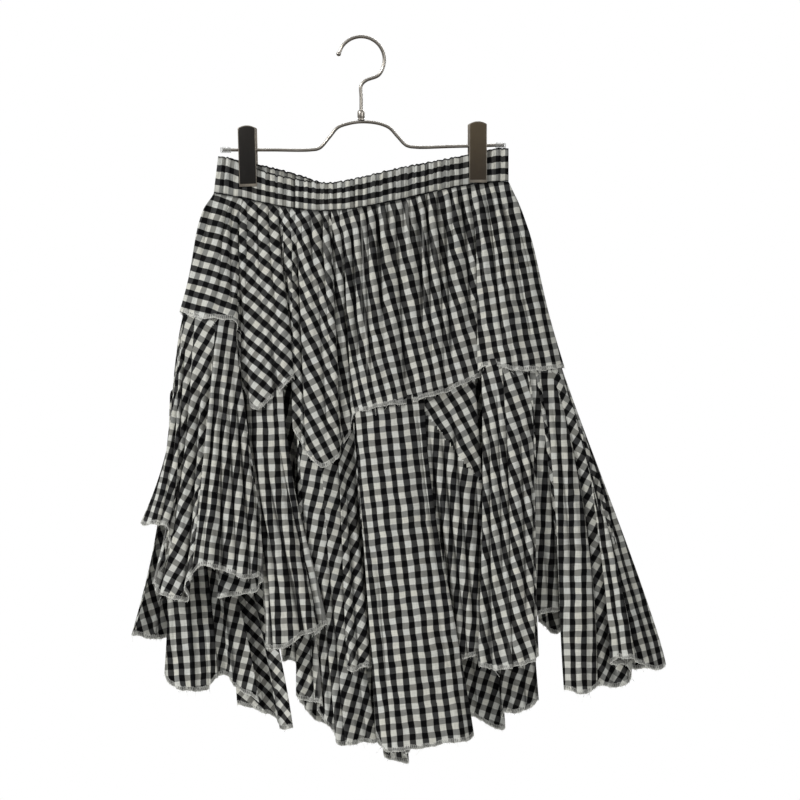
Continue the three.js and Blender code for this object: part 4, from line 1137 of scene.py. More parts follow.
def cloth_colour(tree, place, look):
    """The four tones of the woven check, with a faint warm or cool cast from square to square, a painted
    highlight along sharp ridges, and painted shade in troughs and under seams.
    """
    stripes = {"Repeat": look.check_repeat, "Softness": look.check_softness, "Wander": look.check_wander}
    check = use_group(tree, check_group(), Vector=place, **stripes)
    light = mix_colours(tree, check["Weft"], (*look.white, 1), (*look.light_grey, 1))
    dark = mix_colours(tree, check["Weft"], (*look.dark_grey, 1), (*look.black, 1))
    woven = mix_colours(tree, check["Warp"], light, dark)
    cast = mix_colours(tree, check["Square"], (1.02, 1.005, 0.955, 1), (0.985, 1.0, 1.01, 1))
    woven = mix_colours(tree, 1.0, woven, cast, "MULTIPLY")
    # painted highlight: the colour paled towards white along sharp ridges
    crest = add_node(tree, "Attribute", attribute_name="crest").outputs["Fac"]
    woven = mix_colours(tree, maths(tree, "MULTIPLY", crest, look.crest_light), woven, (*look.white, 1))
    # painted shade: the colour darkened towards black in troughs and under seams, as far as the fold shadow
    # says
    depth = add_node(tree, "Attribute", attribute_name="fold").outputs["Fac"]
    return mix_colours(tree, maths(tree, "MULTIPLY", depth, look.fold_shadow), woven, (*look.black, 1))


def cotton_finish(shader, look):
    shader.inputs["Specular IOR Level"].default_value = 0.1
    shader.inputs["Sheen Weight"].default_value = look.sheen
    shader.inputs["Sheen Roughness"].default_value = 0.55


def gingham_material():
    """Woven cotton with an overcast edge, on the piece's own flat pattern."""
    if "gingham_cotton" in bpy.data.materials:
        return bpy.data.materials["gingham_cotton"]
    look = bpy.context.scene.skirt_cloth
    made, tree, shader = new_material("gingham_cotton")
    place = add_node(tree, "UVMap", uv_map="cloth").outputs[0]
    edge_place = add_node(tree, "UVMap", uv_map="edge").outputs[0]
    weave = use_group(tree, weave_group(), Vector=place, Thread=look.thread_pitch)
    edge = use_group(tree, overcast_group(), Vector=edge_place, Width=look.edge_width, Stitch=look.stitch)
    woven = cloth_colour(tree, place, look)
    slubs = between(tree, weave["Slubs"], 0.3, 0.7)
    slubbed = mix_colours(tree, slubs, (0.86, 0.86, 0.86, 1), (1.1, 1.1, 1.1, 1))
    woven = mix_colours(tree, 1.0, woven, slubbed, "MULTIPLY")
    thread = mix_colours(tree, edge["Loops"], (*look.edge_shade, 1), (*look.edge_thread, 1))
    cover = maths(tree, "MULTIPLY_ADD", edge["Lip"], 0.9 - look.edge_cover, look.edge_cover)
    covered = mix_colours(tree, cover, woven, thread)
    needle = maths(tree, "MULTIPLY", edge["Needle"], 0.8)
    covered = mix_colours(tree, needle, covered, (*look.needle_thread, 1))
    colour = mix_colours(tree, edge["Mask"], woven, covered)
    tree.links.new(colour, shader.inputs["Base Color"])
    rough = between(tree, weave["Slubs"], 0.2, 0.8, 0.78, 0.92)
    tree.links.new(rough, shader.inputs["Roughness"])
    threads = maths(tree, "MULTIPLY", weave["Height"], 0.35)
    relief = maths(tree, "MULTIPLY_ADD", edge["Loops"], edge["Mask"], threads)
    relief = maths(tree, "ADD", relief, maths(tree, "MULTIPLY", weave["Slubs"], 0.5))
    add_bump(tree, shader, relief, 0.5, 0.0003)
    cotton_finish(shader, look)
    return made


def band_material():
    """The same cotton over the elastic, with fine wrinkles in its bump and as painted shade and light in
    its colour, and three upright lines of stitching.
    """
    if "gingham_band" in bpy.data.materials:
        return bpy.data.materials["gingham_band"]
    look = bpy.context.scene.skirt_cloth
    made, tree, shader = new_material("gingham_band")
    place = add_node(tree, "UVMap", uv_map="cloth").outputs[0]
    edge_place = add_node(tree, "UVMap", uv_map="edge").outputs[0]
    weave = use_group(tree, weave_group(), Vector=place, Thread=look.thread_pitch)
    woven = cloth_colour(tree, place, look)
    axes = add_node(tree, "SeparateXYZ", edge_place).outputs
    wrinkle = noise_at(tree, stretched(tree, edge_place, (260, 28, 1)), 1, 3, noise_dimensions="2D")[0]
    # painted shade and light of the wrinkles: the colour darkened to 0.8 and lifted to 1.1 with them
    shade = between(tree, wrinkle, 0.3, 0.62, 0.8, 1.1)
    painted_wrinkle_shade = add_node(tree, "CombineColor", shade, shade, shade).outputs[0]
    woven = mix_colours(tree, 1.0, woven, painted_wrinkle_shade, "MULTIPLY")
    lines = None
    for at in BAND_STITCH_LINES:
        off = maths(tree, "ABSOLUTE", maths(tree, "SUBTRACT", axes["X"], (at + WAIST_HALF) * MM))
        line = between(tree, off, 0.0011, 0.0003)
        lines = line if lines is None else maths(tree, "MAXIMUM", lines, line)
    colour = mix_colours(tree, maths(tree, "MULTIPLY", lines, 0.75), woven, (*look.black, 1))
    tree.links.new(colour, shader.inputs["Base Color"])
    tree.links.new(between(tree, weave["Slubs"], 0.2, 0.8, 0.78, 0.92), shader.inputs["Roughness"])
    relief = maths(tree, "MULTIPLY_ADD", wrinkle, 3.0, maths(tree, "MULTIPLY", lines, -2.0))
    relief = maths(tree, "ADD", relief, maths(tree, "MULTIPLY", weave["Height"], 0.35))
    add_bump(tree, shader, relief, 0.6, 0.0005)
    cotton_finish(shader, look)
    return made


def thread_material():
    """Loose sewing and weaving thread, pale and dark."""
    if "loose_thread" in bpy.data.materials:
        return bpy.data.materials["loose_thread"]
    look = bpy.context.scene.skirt_cloth
    made, tree, shader = new_material("loose_thread")
    noise = noise_at(tree, add_node(tree, "TexCoord").outputs["Object"], 260)
    dark = between(tree, noise[0], 0.52, 0.6)
    colour = mix_colours(tree, dark, (*look.edge_thread, 1), (*look.dark_grey, 1))
    tree.links.new(colour, shader.inputs["Base Color"])
    shader.inputs["Roughness"].default_value = 0.85
    cotton_finish(shader, look)
    return made


def metal_group():
    """Fine brushing, and worn patches, for a plated wire or a painted plate."""
    if "brushed_wear" in bpy.data.node_groups:
        return bpy.data.node_groups["brushed_wear"]
    tree, given, result = new_group(
        "brushed_wear",
        [("Vector", "Vector"), ("Stretch", "Vector")],
        [("Brushing", "Float"), ("Patches", "Float")],
    )
    along = stretched(tree, given["Vector"], given["Stretch"])
    tree.links.new(noise_at(tree, along, 1, 5)[0], result["Brushing"])
    tree.links.new(noise_at(tree, given["Vector"], 90, 6)[0], result["Patches"])
    return tree


def metal_material(name, pale, deep, roughness, metallic, stretch, painted_light_span=None):
    """Brushed metal between two tones, in patches, and, where two heights are given, with painted light
    that makes it lighter going up from the first to the second.
    """
    if name in bpy.data.materials:
        return bpy.data.materials[name]
    made, tree, shader = new_material(name)
    place = add_node(tree, "TexCoord").outputs["Object"]
    wear = use_group(tree, metal_group(), Vector=place, Stretch=stretch)
    share = between(tree, wear["Patches"], 0.35, 0.7)
    # painted light: lighter towards the top, from the deep tone at the lower height to the pale tone at the
    # upper
    if painted_light_span:
        height = add_node(tree, "SeparateXYZ", place).outputs["Z"]
        share = maths(tree, "MULTIPLY_ADD", share, 0.12, between(tree, height, *painted_light_span, 0.0, 0.9))
    colour = mix_colours(tree, share, (*deep, 1), (*pale, 1))
    tree.links.new(colour, shader.inputs["Base Color"])
    rough = between(tree, wear["Brushing"], 0.2, 0.8, roughness - 0.08, roughness + 0.1)
    tree.links.new(rough, shader.inputs["Roughness"])
    add_bump(tree, shader, wear["Brushing"], 0.02, 0.0002)
    shader.inputs["Metallic"].default_value = metallic
    return made


def nickel_material():
    look = bpy.context.scene.skirt_hanger
    return metal_material("satin_nickel", look.nickel, look.nickel_deep, 0.3, 1.0, (120, 120, 120))


def bronze_material(label):
    """A clip's face, in one of two copies of the same bronze: the left clip's is painted in shade, nearly
    black, and the right one's is painted lit, brown.
    """
    look = bpy.context.scene.skirt_hanger
    # the left clip takes the painted-shade copy, and the right clip the lit one
    pale, deep = (look.bronze_shaded, look.bronze_shaded_low) if label == "left" else (look.bronze, look.bronze_low_shade)
    # the foot and the top of a clip's plate, between which the painted light makes it lighter going up
    middle = (WAIST_Z - CLIP_RIGHT_DROP) * MM
    painted_light_span = (middle - CLIP_BELOW_BAR * MM, middle + (CLIP_HEIGHT - CLIP_BELOW_BAR) * MM)
    return metal_material(f"bronze_{label}", pale, deep, 0.5, 0.1, (1400, 1400, 60), painted_light_span)


def rim_material():
    look = bpy.context.scene.skirt_hanger
    return metal_material("worn_rim", look.rim, look.rim_deep, 0.38, 0.7, (1400, 1400, 60))


def plastic_material():
    if "sleeve_plastic" in bpy.data.materials:
        return bpy.data.materials["sleeve_plastic"]
    made, tree, shader = new_material("sleeve_plastic")
    noise = noise_at(tree, add_node(tree, "TexCoord").outputs["Object"], 500)[0]
    tree.links.new(between(tree, noise, 0.3, 0.7, 0.1, 0.2), shader.inputs["Roughness"])
    colour = mix_colours(tree, noise, (0.42, 0.43, 0.42, 1), (0.52, 0.53, 0.52, 1))
    tree.links.new(colour, shader.inputs["Base Color"])
    turned_away = add_node(tree, "LayerWeight").outputs["Facing"]
    tree.links.new(between(tree, turned_away, 0.3, 0.85, 0.2, 0.95), shader.inputs["Alpha"])
    return made


def even_columns(surface, count_of_folds, pitch):
    """Places along a piece, counted by its folds, that lie an even distance apart on its hem."""
    fine = np.linspace(0, count_of_folds - 1, 60 * count_of_folds)
    along = run_along(surface(fine, np.ones_like(fine)))
    return np.interp(np.linspace(0, along[-1], max(int(along[-1] / pitch), 24)), along, fine)


def grid_on(surface, where, pitch):
    """Points of a surface at the places given, in rows about a pitch apart."""
    middle = where[len(where) // 2]
    ends = surface(np.array([middle, middle]), np.array([0.0, 1.0]))
    rows = int(np.linalg.norm(ends[1] - ends[0]) / pitch)
    t = np.linspace(0, 1, max(rows, 16))
    return surface(*np.meshgrid(where, t, indexing="ij")), t


def side_ease(grid):
    """0 at the side folds, where front and back meet, and 1 away from them."""
    return smooth(np.abs(grid[..., 1]), *SIDE_EASE)


def hem_ripples(grid, t, side, seed):
    """Small uneven waves that grow towards a hem, and a cut that runs a little high and low."""
    rng = random.Random(seed)
    along = hem_place(grid)[:, -1, 0]
    wave = np.zeros_like(along)
    drop = np.zeros_like(along)
    for length, height in HEM_WAVES:
        length *= rng.uniform(0.85, 1.15)
        wave += height * np.sin(2 * math.pi * along / length + rng.uniform(0, 6))
    for length, height in HEM_DROPS:
        drop += height * np.sin(2 * math.pi * along / length + rng.uniform(0, 6))
    grow = smooth(t, 0.45, 1) ** 1.5
    ease = side_ease(grid)
    moved = grid + outward_of(grid, side) * (wave[:, None] * grow[None, :] * ease)[..., None]
    down = np.gradient(moved, axis=1)
    down /= np.maximum(np.linalg.norm(down, axis=-1, keepdims=True), 1e-9)
    return moved + down * (drop[:, None] * (t**12)[None, :] * ease)[..., None]


def band_gathers(grid, seam_x, side, seed):
    """Uneven puffs of cloth under the waistband, round between sharp troughs, each as long as it falls."""
    rng = random.Random(seed)
    edges, depths, lengths = [-WAIST_HALF - 20], [0.0], [40.0]
    while edges[-1] < WAIST_HALF + 20:
        edges.append(edges[-1] + rng.uniform(*PUFF_WIDTHS))
        depths.append(rng.uniform(*PUFF_DEPTHS))
        lengths.append(rng.choice(PUFF_LENGTHS) * rng.uniform(0.85, 1.15))
    edges, depths, lengths = (np.array(values) for values in (edges, depths, lengths))
    puff = np.clip(np.searchsorted(edges, seam_x, side="right") - 1, 0, len(edges) - 2)
    share = (seam_x - edges[puff]) / (edges[puff + 1] - edges[puff])
    shape = np.abs(np.sin(math.pi * share)) ** PUFF_ROUNDNESS - PUFF_MEAN
    below = down_lengths(grid)
    length = np.interp(seam_x, (edges[1:] + edges[:-1]) / 2, lengths[1:])[:, None]
    reach = (1 - np.exp(-below / PUFF_RISE)) * np.exp(-((below / length) ** 1.3))
    move = (depths[puff] * shape)[:, None] * reach * side_ease(grid)
    return grid + outward_of(grid, side) * move[..., None]


def threads_at(name, grid, side, material):
    """Stray threads along a hem, where the overcast edge has frayed."""
    look = bpy.context.scene.skirt_cloth
    rng = random.Random(name)
    hem = grid[:, -1] * MM
    down = hem - grid[:, -3] * MM
    outward = outward_of(grid, side)[:, -1]
    along = run_along(hem)
    bm = bmesh.new()
    place = rng.uniform(0, look.fray_pitch)
    while place < along[-1]:
        spot = Vector([float(np.interp(place, along, hem[:, k])) for k in range(3)])
        nearest = int(np.searchsorted(along, place))
        fall = Vector(down[nearest]).normalized()
        lean = Vector(outward[nearest]) * rng.uniform(-0.5, 0.6)
        sideways = fall.cross(Vector(outward[nearest])) * rng.uniform(-0.9, 0.9)
        heading = (fall + lean + sideways).normalized()
        long_one = rng.random() < 0.06
        length = look.fray_length * (rng.uniform(1.8, 3.2) if long_one else rng.uniform(0.25, 1))
        turn = Vector((0, 0, 1)).rotation_difference(heading).to_matrix().to_4x4()
        middle = spot + heading * (length / 2 - 0.0004)
        bmesh.ops.create_cone(
            bm,
            segments=3,
            radius1=look.thread_width / 2,
            radius2=look.thread_width / 5,
            depth=length,
            matrix=Matrix.Translation(middle) @ turn,
        )
        place += look.fray_pitch * rng.uniform(0.4, 1.7)
    return new_piece(f"frays_{name}", bm, material, "gingham")


def hang_cloth(name, grid, where, t, folds, side):
    """Makes a piece of cloth of its grid, and frays its hem."""
    look = bpy.context.scene.skirt_cloth
    maps = {"cloth": flat_cloth(name, grid, t, where, folds), "edge": one_gore(hem_place(grid))}
    piece = cloth_piece(f"cloth_{name}", grid, maps, side, look.wall / MM, gingham_material(), name)
    threads = threads_at(name, grid, side, thread_material())
    return piece


def upper_of(side):
    folds = UPPER_FRONT if side == FRONT else UPPER_BACK
    return folds, upper_surface(folds, side)


def hang_upper_tier(name, side):
    folds, surface = upper_of(side)
    where = even_columns(surface, len(folds), COLUMN_PITCH)
    grid, t = grid_on(surface, where, ROW_PITCH)
    grid = band_gathers(grid, curve_through([[fold.seam] for fold in folds])(where)[:, 0], side, name)
    grid = soft_creases(grid, where, t, CREASES[name], side)
    grid = hem_ripples(grid, t, side, name)
    return hang_cloth(name, grid, where, t, folds, side)


def hang_lower_piece(name, cut, side):
    surface = lower_surface(cut, upper_of(side)[1], side)
    where = even_columns(surface, len(cut.folds), COLUMN_PITCH)
    grid, t = grid_on(surface, where, ROW_PITCH)
    grid = soft_creases(grid, where, t, CREASES[name], side)
    grid = hem_ripples(grid, t, side, name)
    return hang_cloth(name, grid, where, t, cut.folds, side)


def band_puckers(x, seed):
    """The elastic's small uneven waves, in the band's face and along its edge, and none under the clips."""
    rng = random.Random(seed)
    pucker = np.zeros_like(x)
    ripple = np.zeros_like(x)
    for length, height in BAND_PUCKERS:
        drift = 0.8 * np.sin(x / rng.uniform(17, 29) + rng.uniform(0, 6))
        pucker += height * np.sin(2 * math.pi * x / length + drift + rng.uniform(0, 6))
        ripple += height * np.sin(2 * math.pi * x / (0.83 * length) + drift + rng.uniform(0, 6))
    return pucker * clear_of_clips(x), ripple * clear_of_clips(x)


def band_grid(name, side, share):
    """The casing's points, at shares of its height from its top edge down to its seam."""
    keys = ("back_top", "back_seam") if side == BACK else ("top", "seam")
    top_at, seam_at = (reading(BAND, "x", key) for key in keys)
    x = np.linspace(-WAIST_HALF, WAIST_HALF, BAND_COLUMNS)
    pucker, ripple = band_puckers(x, name)
    edge = np.minimum(1, (WAIST_HALF - np.abs(x)) / BAND_SIDE_EASE)
    round_over = np.exp(-share / BAND_ROUND_SHARE) + np.exp(-(1 - share) / BAND_ROUND_SHARE)
    across = np.cos(math.pi * (share - 0.5)) * 0.5 + 0.75
    out = waist_out(x)[:, None] + SOLID_WALL / 2 + (pucker * edge)[:, None] * across[None, :]
    out -= edge[:, None] * (BAND_ROUND * round_over)
    top = WAIST_Z - top_at(x) + 0.9 * ripple * edge
    bottom = WAIST_Z - seam_at(x)
    z = mix(top[:, None], bottom[:, None], share[None, :])
    lean = BAND_LEAN * np.maximum(0, -x / WAIST_HALF) ** 6
    leaning = x[:, None] + lean[:, None] * (1 - share[None, :])
    return np.stack([leaning, side * np.maximum(out, 0.2), z], axis=-1)


def hang_waistband(name, side):
    """The elastic casing: a double wall, drawn up in small uneven puckers that also ripple its top edge."""
    look = bpy.context.scene.skirt_cloth
    share = np.linspace(0, 1, BAND_ROWS)
    grid = band_grid(name, side, share)
    along = run_along(grid[:, BAND_ROWS // 2])
    repeat = look.check_repeat / MM
    rows = (BAND_CHECK_START + BAND_CHECK_ROWS * share) * repeat
    flat = np.stack(np.broadcast_arrays(rows[None, :], (along * BAND_STRETCH)[:, None]), axis=-1)
    height = down_lengths(grid)
    on_band = np.stack(np.broadcast_arrays(along[:, None], height), axis=-1)
    maps = {"cloth": one_gore(flat), "edge": one_gore(on_band)}
    piece = cloth_piece(f"cloth_{name}", grid, maps, side, look.band_wall / MM, band_material(), name)
    return piece


def wire_mesh(points, radius, sides=6):
    """A round wire through points in millimetres, as a bmesh with closed ends."""
    curve = bpy.data.curves.new("wire_route", "CURVE")
    curve.dimensions = "3D"
    curve.bevel_depth = radius * MM
    curve.bevel_resolution = sides
    curve.use_fill_caps = True
    spline = curve.splines.new("POLY")
    spline.points.add(len(points) - 1)
    for point, place in zip(spline.points, points):
        point.co = (*(float(value) * MM for value in place), 1)
    carrier = bpy.data.objects.new("wire_route", curve)
    bpy.context.scene.collection.objects.link(carrier)
    mesh = bpy.data.meshes.new_from_object(carrier.evaluated_get(bpy.context.evaluated_depsgraph_get()))
    bm = bmesh.new()
    bm.from_mesh(mesh)
    bmesh.ops.remove_doubles(bm, verts=bm.verts, dist=0.00001)
    bmesh.ops.recalc_face_normals(bm, faces=bm.faces)
    bpy.data.objects.remove(carrier)
    bpy.data.curves.remove(curve)
    bpy.data.meshes.remove(mesh)
    return bm


def shade_smooth(bm, angle=35):
    """Smooth faces, with the edges that turn by more than an angle kept sharp."""
    for face in bm.faces:
        face.smooth = True
    for edge in bm.edges:
        edge.smooth = edge.is_manifold and edge.calc_face_angle(0) < math.radians(angle)


def turned(profile, place, axis="Z", steps=40):
    """A solid turned from a profile of radius and height in millimetres, about Z, or laid along X."""
    bm = bmesh.new()
    corners = [bm.verts.new((radius * MM, 0, height * MM)) for radius, height in profile]
    for first, second in zip(corners, corners[1:]):
        bm.edges.new((first, second))
    bmesh.ops.spin(
        bm,
        geom=bm.verts[:] + bm.edges[:],
        cent=(0, 0, 0),
        axis=(0, 0, 1),
        angle=2 * math.pi,
        steps=steps,
        use_merge=True,
    )
    bmesh.ops.remove_doubles(bm, verts=bm.verts, dist=0.00001)
    bmesh.ops.recalc_face_normals(bm, faces=bm.faces)
    turn = Matrix.Rotation(math.pi / 2, 4, "Y") if axis == "X" else Matrix.Identity(4)
    bmesh.ops.transform(bm, matrix=Matrix.Translation(Vector(place) * MM) @ turn, verts=bm.verts)
    shade_smooth(bm)
    return bm


def bar_points():
    path = curve_through([(x, 0, WAIST_Z - drop) for x, drop in BAR_BEND])
    return path(np.linspace(0, len(BAR_BEND) - 1, BAR_POINTS))


def stem_bottom():
    return WAIST_Z - BAR_TOP_DROP + BAR_WIRE + SEAM_GAP + FERRULE_HEIGHT + SEAM_GAP


def hook_points():
    low, high = stem_bottom(), WAIST_Z - STEM_TOP_DROP
    centre = HOOK_WIRE - HOOK_RADIUS
    points = [(0, 0, low), (0, 0, (low + high) / 2), (0, 0, high), (KINK_REACH, 0, high + KINK_RISE)]
    for degrees in range(HOOK_START_ANGLE, HOOK_TIP_ANGLE + 1, HOOK_STEP):
        angle = math.radians(degrees)
        points.append((HOOK_RADIUS * math.cos(angle), 0, centre + HOOK_RADIUS * math.sin(angle)))
    return curve_through(points)(np.linspace(0, len(points) - 1, HOOK_POINTS))


# The turned fittings, as radius and height pairs.
FERRULE_PROFILE = (
    (0, 0), (4.1, 0), (4.1, 0.9), (3.2, 1.3), (3.2, 2.1), (3.9, 2.5), (4.1, 3), (4.1, 8.7), (3.7, 9.8),
    (2.7, 10.5), (2.3, 11), (0, 11),
)
SLEEVE_PROFILE = (
    (0, 12), (0, 10.5), (2.1, 10.5), (2.1, 0.3), (2.4, 0), (2.9, 0), (3.2, 0.4), (3.2, 10.8), (2.9, 11.6),
    (2.2, 12), (0, 12),
)


def bend_wires():
    nickel = nickel_material()
    bar = wire_mesh(bar_points(), BAR_WIRE)
    shade_smooth(bar, 60)
    new_piece("wire_bar", bar, nickel, "nickel", "hanger_bar")
    points = hook_points()
    hook = wire_mesh(points, HOOK_WIRE)
    bmesh.ops.create_uvsphere(
        hook,
        u_segments=24,
        v_segments=16,
        radius=HOOK_TIP_BALL * MM,
        matrix=Matrix.Translation(Vector(points[-1].tolist()) * MM),
    )
    shade_smooth(hook, 60)
    new_piece("wire_hook", hook, nickel, "nickel", "hanger_hook")
    seat = (0, 0, stem_bottom() - SEAM_GAP - FERRULE_HEIGHT)
    new_piece("ferrule", turned(FERRULE_PROFILE, seat), nickel, "nickel", "hanger_ferrule")


def cap_bar_ends():
    ends = (("left", -1, BAR_LEFT_END, BAR_LEFT_DROP), ("right", 1, BAR_RIGHT_END, BAR_RIGHT_DROP))
    for label, direction, reach, drop in ends:
        start = direction * (reach + SEAM_GAP + SLEEVE_CAP - SLEEVE_LENGTH)
        profile = [(radius, direction * height) for radius, height in SLEEVE_PROFILE]
        sleeve = turned(profile, (start, 0, WAIST_Z - drop), axis="X", steps=32)
        solid = f"hanger_sleeve_{label}"
        new_piece(f"end_sleeve_{label}", sleeve, plastic_material(), "clear_plastic", solid)


def jaw_gap(x, tip):
    """How far a clip's jaws stand from the middle plane, so that they clear the band all across."""
    reach = CLIP_WIDTH / 2 + CLIP_BACK_SHIFT + CLIP_BELOW_BAR * math.sin(math.radians(tip))
    return float(waist_out(abs(x) - reach)) + SOLID_WALL / 2 + SEAM_GAP


def bent_corner(start, corner, end, steps):
    """Points of a curve that leaves one point towards a corner and reaches another, after the first."""
    shares = [(step + 1) / steps for step in range(steps)]
    first, middle, last = (Vector(point) for point in (start, corner, end))
    return [tuple(first * (1 - t) ** 2 + middle * 2 * t * (1 - t) + last * t * t) for t in shares]


def clip_outline():
    """A plate's outline, across and up: square below, with rounded shoulders and a domed top."""
    half, corner, shoulder = CLIP_WIDTH / 2, CLIP_CORNER, CLIP_HEIGHT - CLIP_DOME
    turn_in = (half - corner, shoulder + corner / 2)
    outline = [(-half, 0), (half, 0), (half, shoulder - corner)]
    outline += bent_corner(outline[-1], (half, shoulder), turn_in, CLIP_CORNER_STEPS)
    crown = (0, CLIP_HEIGHT + CLIP_DOME - corner / 2)
    outline += bent_corner(turn_in, crown, (-turn_in[0], turn_in[1]), 2 * CLIP_CORNER_STEPS)
    outline += bent_corner(outline[-1], (-half, shoulder), (-half, shoulder - corner), CLIP_CORNER_STEPS)
    return outline


def extrude(bm, face, out):
    """Pulls a face out towards the front, and gives the new face."""
    grown = bmesh.ops.extrude_face_region(bm, geom=[face])["geom"]
    moved = [item for item in grown if isinstance(item, bmesh.types.BMVert)]
    bmesh.ops.translate(bm, verts=moved, vec=(0, -out * MM, 0))
    return [item for item in grown if isinstance(item, bmesh.types.BMFace)]


def clip_tray():
    """A clip's face: a worn metal tray with a raised dark panel, and a pale lip below it."""
    bm = bmesh.new()
    face = bm.faces.new([bm.verts.new((across * MM, 0, up * MM)) for across, up in clip_outline()])
    front = extrude(bm, face, CLIP_TRAY)
    bmesh.ops.recalc_face_normals(bm, faces=bm.faces)
    for part in bm.faces:
        part.material_index = 1
    bmesh.ops.inset_region(bm, faces=front, thickness=CLIP_BORDER * MM, use_even_offset=True)
    panel = front[0]
    for vert in panel.verts:
        if vert.co.z < CLIP_LIP * MM:
            vert.co.z = CLIP_LIP * MM
    for part in extrude(bm, panel, CLIP_PLATE - CLIP_TRAY):
        part.material_index = 0
        for edge in part.edges:
            for beside in edge.link_faces:
                beside.material_index = 0
    if panel.is_valid:
        bmesh.ops.delete(bm, geom=[panel], context="FACES_ONLY")
    return bm


def clip_plate(side, x, tip):
    """A sprung plate, standing on its jaw's lower edge and leaning out to its spring."""
    bm = clip_tray()
    sharp = [edge for edge in bm.edges if edge.is_manifold and edge.calc_face_angle(0) > math.radians(50)]
    bmesh.ops.bevel(
        bm,
        geom=sharp,
        offset=CLIP_BEVEL * MM,
        segments=3,
        profile=0.5,
        affect="EDGES",
        material=-1,
        clamp_overlap=True,
    )
    gap = jaw_gap(x, tip)
    lean = math.atan((CLIP_BARREL + SEAM_GAP - gap) / CLIP_BELOW_BAR)
    placed = Matrix.Translation((0, -gap * MM, -CLIP_BELOW_BAR * MM)) @ Matrix.Rotation(lean, 4, "X")
    if side == BACK:
        placed = Matrix.Rotation(math.pi, 4, "Z") @ placed
        placed = Matrix.Translation((-math.copysign(CLIP_BACK_SHIFT * MM, x), 0, 0)) @ placed
    placed = Matrix.Rotation(math.radians(-tip), 4, "Y") @ placed
    bmesh.ops.transform(bm, matrix=placed, verts=bm.verts)
    shade_smooth(bm)
    return bm


def spring_points():
    """The clip's spring: a coil on the bar, in millimetres about the clip's middle."""
    turns = np.linspace(0, SPRING_TURNS, SPRING_TURNS * 20 + 1)
    angle = 2 * math.pi * turns
    reach = CLIP_BARREL - SPRING_WIRE
    run = CLIP_BARREL_LENGTH / 2 - SPRING_WIRE
    x = mix(-run, run, turns / SPRING_TURNS)
    return np.stack([x, reach * np.cos(angle), reach * np.sin(angle)], axis=-1)


def fit_clip(label, x, drop, tip):
    middle = Vector((x, 0, WAIST_Z - drop)) * MM
    for side, word in ((FRONT, "front"), (BACK, "back")):
        plate = clip_plate(side, x, tip)
        bmesh.ops.translate(plate, verts=plate.verts, vec=middle)
        face = bronze_material(label)
        piece = new_piece(f"plate_{label}_{word}", plate, face, "bronze", f"clip_{label}_{word}")
        piece.data.materials.append(rim_material())
    spring = wire_mesh(spring_points(), SPRING_WIRE, 4)
    bmesh.ops.translate(spring, verts=spring.verts, vec=middle)
    shade_smooth(spring, 60)
    new_piece(f"spring_{label}", spring, nickel_material(), "nickel", f"clip_{label}_barrel")


def hang_lamp(lamp, power):
    light = bpy.data.lights.new(f"{lamp.name}_light", "AREA")
    light.shape = "DISK"
    light.size = lamp.size
    light.energy = power
    holder = bpy.data.objects.new(f"{lamp.name}_light", light)
    bpy.context.scene.collection.objects.link(holder)
    holder.location = lamp.place
    holder.rotation_euler = (Vector(LAMP_AIM) - Vector(lamp.place)).to_track_quat("-Z", "Y").to_euler()


def set_camera():
    """Square to the skirt's front, level with the middle of the photograph."""
    middle = PHOTO_PIXELS / 2
    x = (middle - HOOK_PIXEL[0]) * MM_PER_PIXEL * MM
    z = (HOOK_PIXEL[1] - middle) * MM_PER_PIXEL * MM
    lens = bpy.data.cameras.new("camera")
    lens.sensor_width = SENSOR
    lens.lens = SENSOR * (CAMERA_DISTANCE + CLOTH_PLANE * MM) / (PHOTO_PIXELS * MM_PER_PIXEL * MM)
    camera = bpy.data.objects.new("camera", lens)
    bpy.context.scene.collection.objects.link(camera)
    camera.location = (x, -CAMERA_DISTANCE, z)
    camera.rotation_euler = (math.pi / 2, 0, 0)
    bpy.context.scene.camera = camera


def light_world(look):
    """A pale room: white behind the object, and softly darker below and behind for its reflections."""
    world = bpy.data.worlds.new("pale_room")
    bpy.context.scene.world = world
    world.use_nodes = True
    tree = world.node_tree
    seen = tree.nodes["Background"]
    seen.inputs["Color"].default_value = (1, 1, 1, 1)
    seen.inputs["Strength"].default_value = look.backdrop
    room = tree.nodes.new("ShaderNodeBackground")
    height = add_node(tree, "SeparateXYZ", add_node(tree, "TexCoord").outputs["Generated"]).outputs["Z"]
    shade = between(tree, height, -0.7, 0.6, 0.22, 1.0)
    tree.links.new(add_node(tree, "CombineColor", shade, shade, shade).outputs[0], room.inputs["Color"])
    room.inputs["Strength"].default_value = look.room
    chosen = tree.nodes.new("ShaderNodeMixShader")
    tree.links.new(tree.nodes.new("ShaderNodeLightPath").outputs["Is Camera Ray"], chosen.inputs[0])
    tree.links.new(room.outputs[0], chosen.inputs[1])
    tree.links.new(seen.outputs[0], chosen.inputs[2])
    tree.links.new(chosen.outputs[0], tree.nodes["World Output"].inputs["Surface"])


def floor_material():
    made, tree, shader = new_material("pale_floor")
    noise = noise_at(tree, add_node(tree, "TexCoord").outputs["Object"], 6)
    colour = mix_colours(tree, noise[0], (0.78, 0.78, 0.77, 1), (0.84, 0.84, 0.83, 1))
    # painted reflection: the floor is dark brown to glossy rays only, so that the wire shows a dark
    # reflection along its lower side
    painted_dark_reflection = tree.nodes.new("ShaderNodeLightPath").outputs["Is Glossy Ray"]
    colour = mix_colours(tree, painted_dark_reflection, colour, (0.1, 0.085, 0.07, 1))
    tree.links.new(colour, shader.inputs["Base Color"])
    shader.inputs["Roughness"].default_value = 0.9
    return made


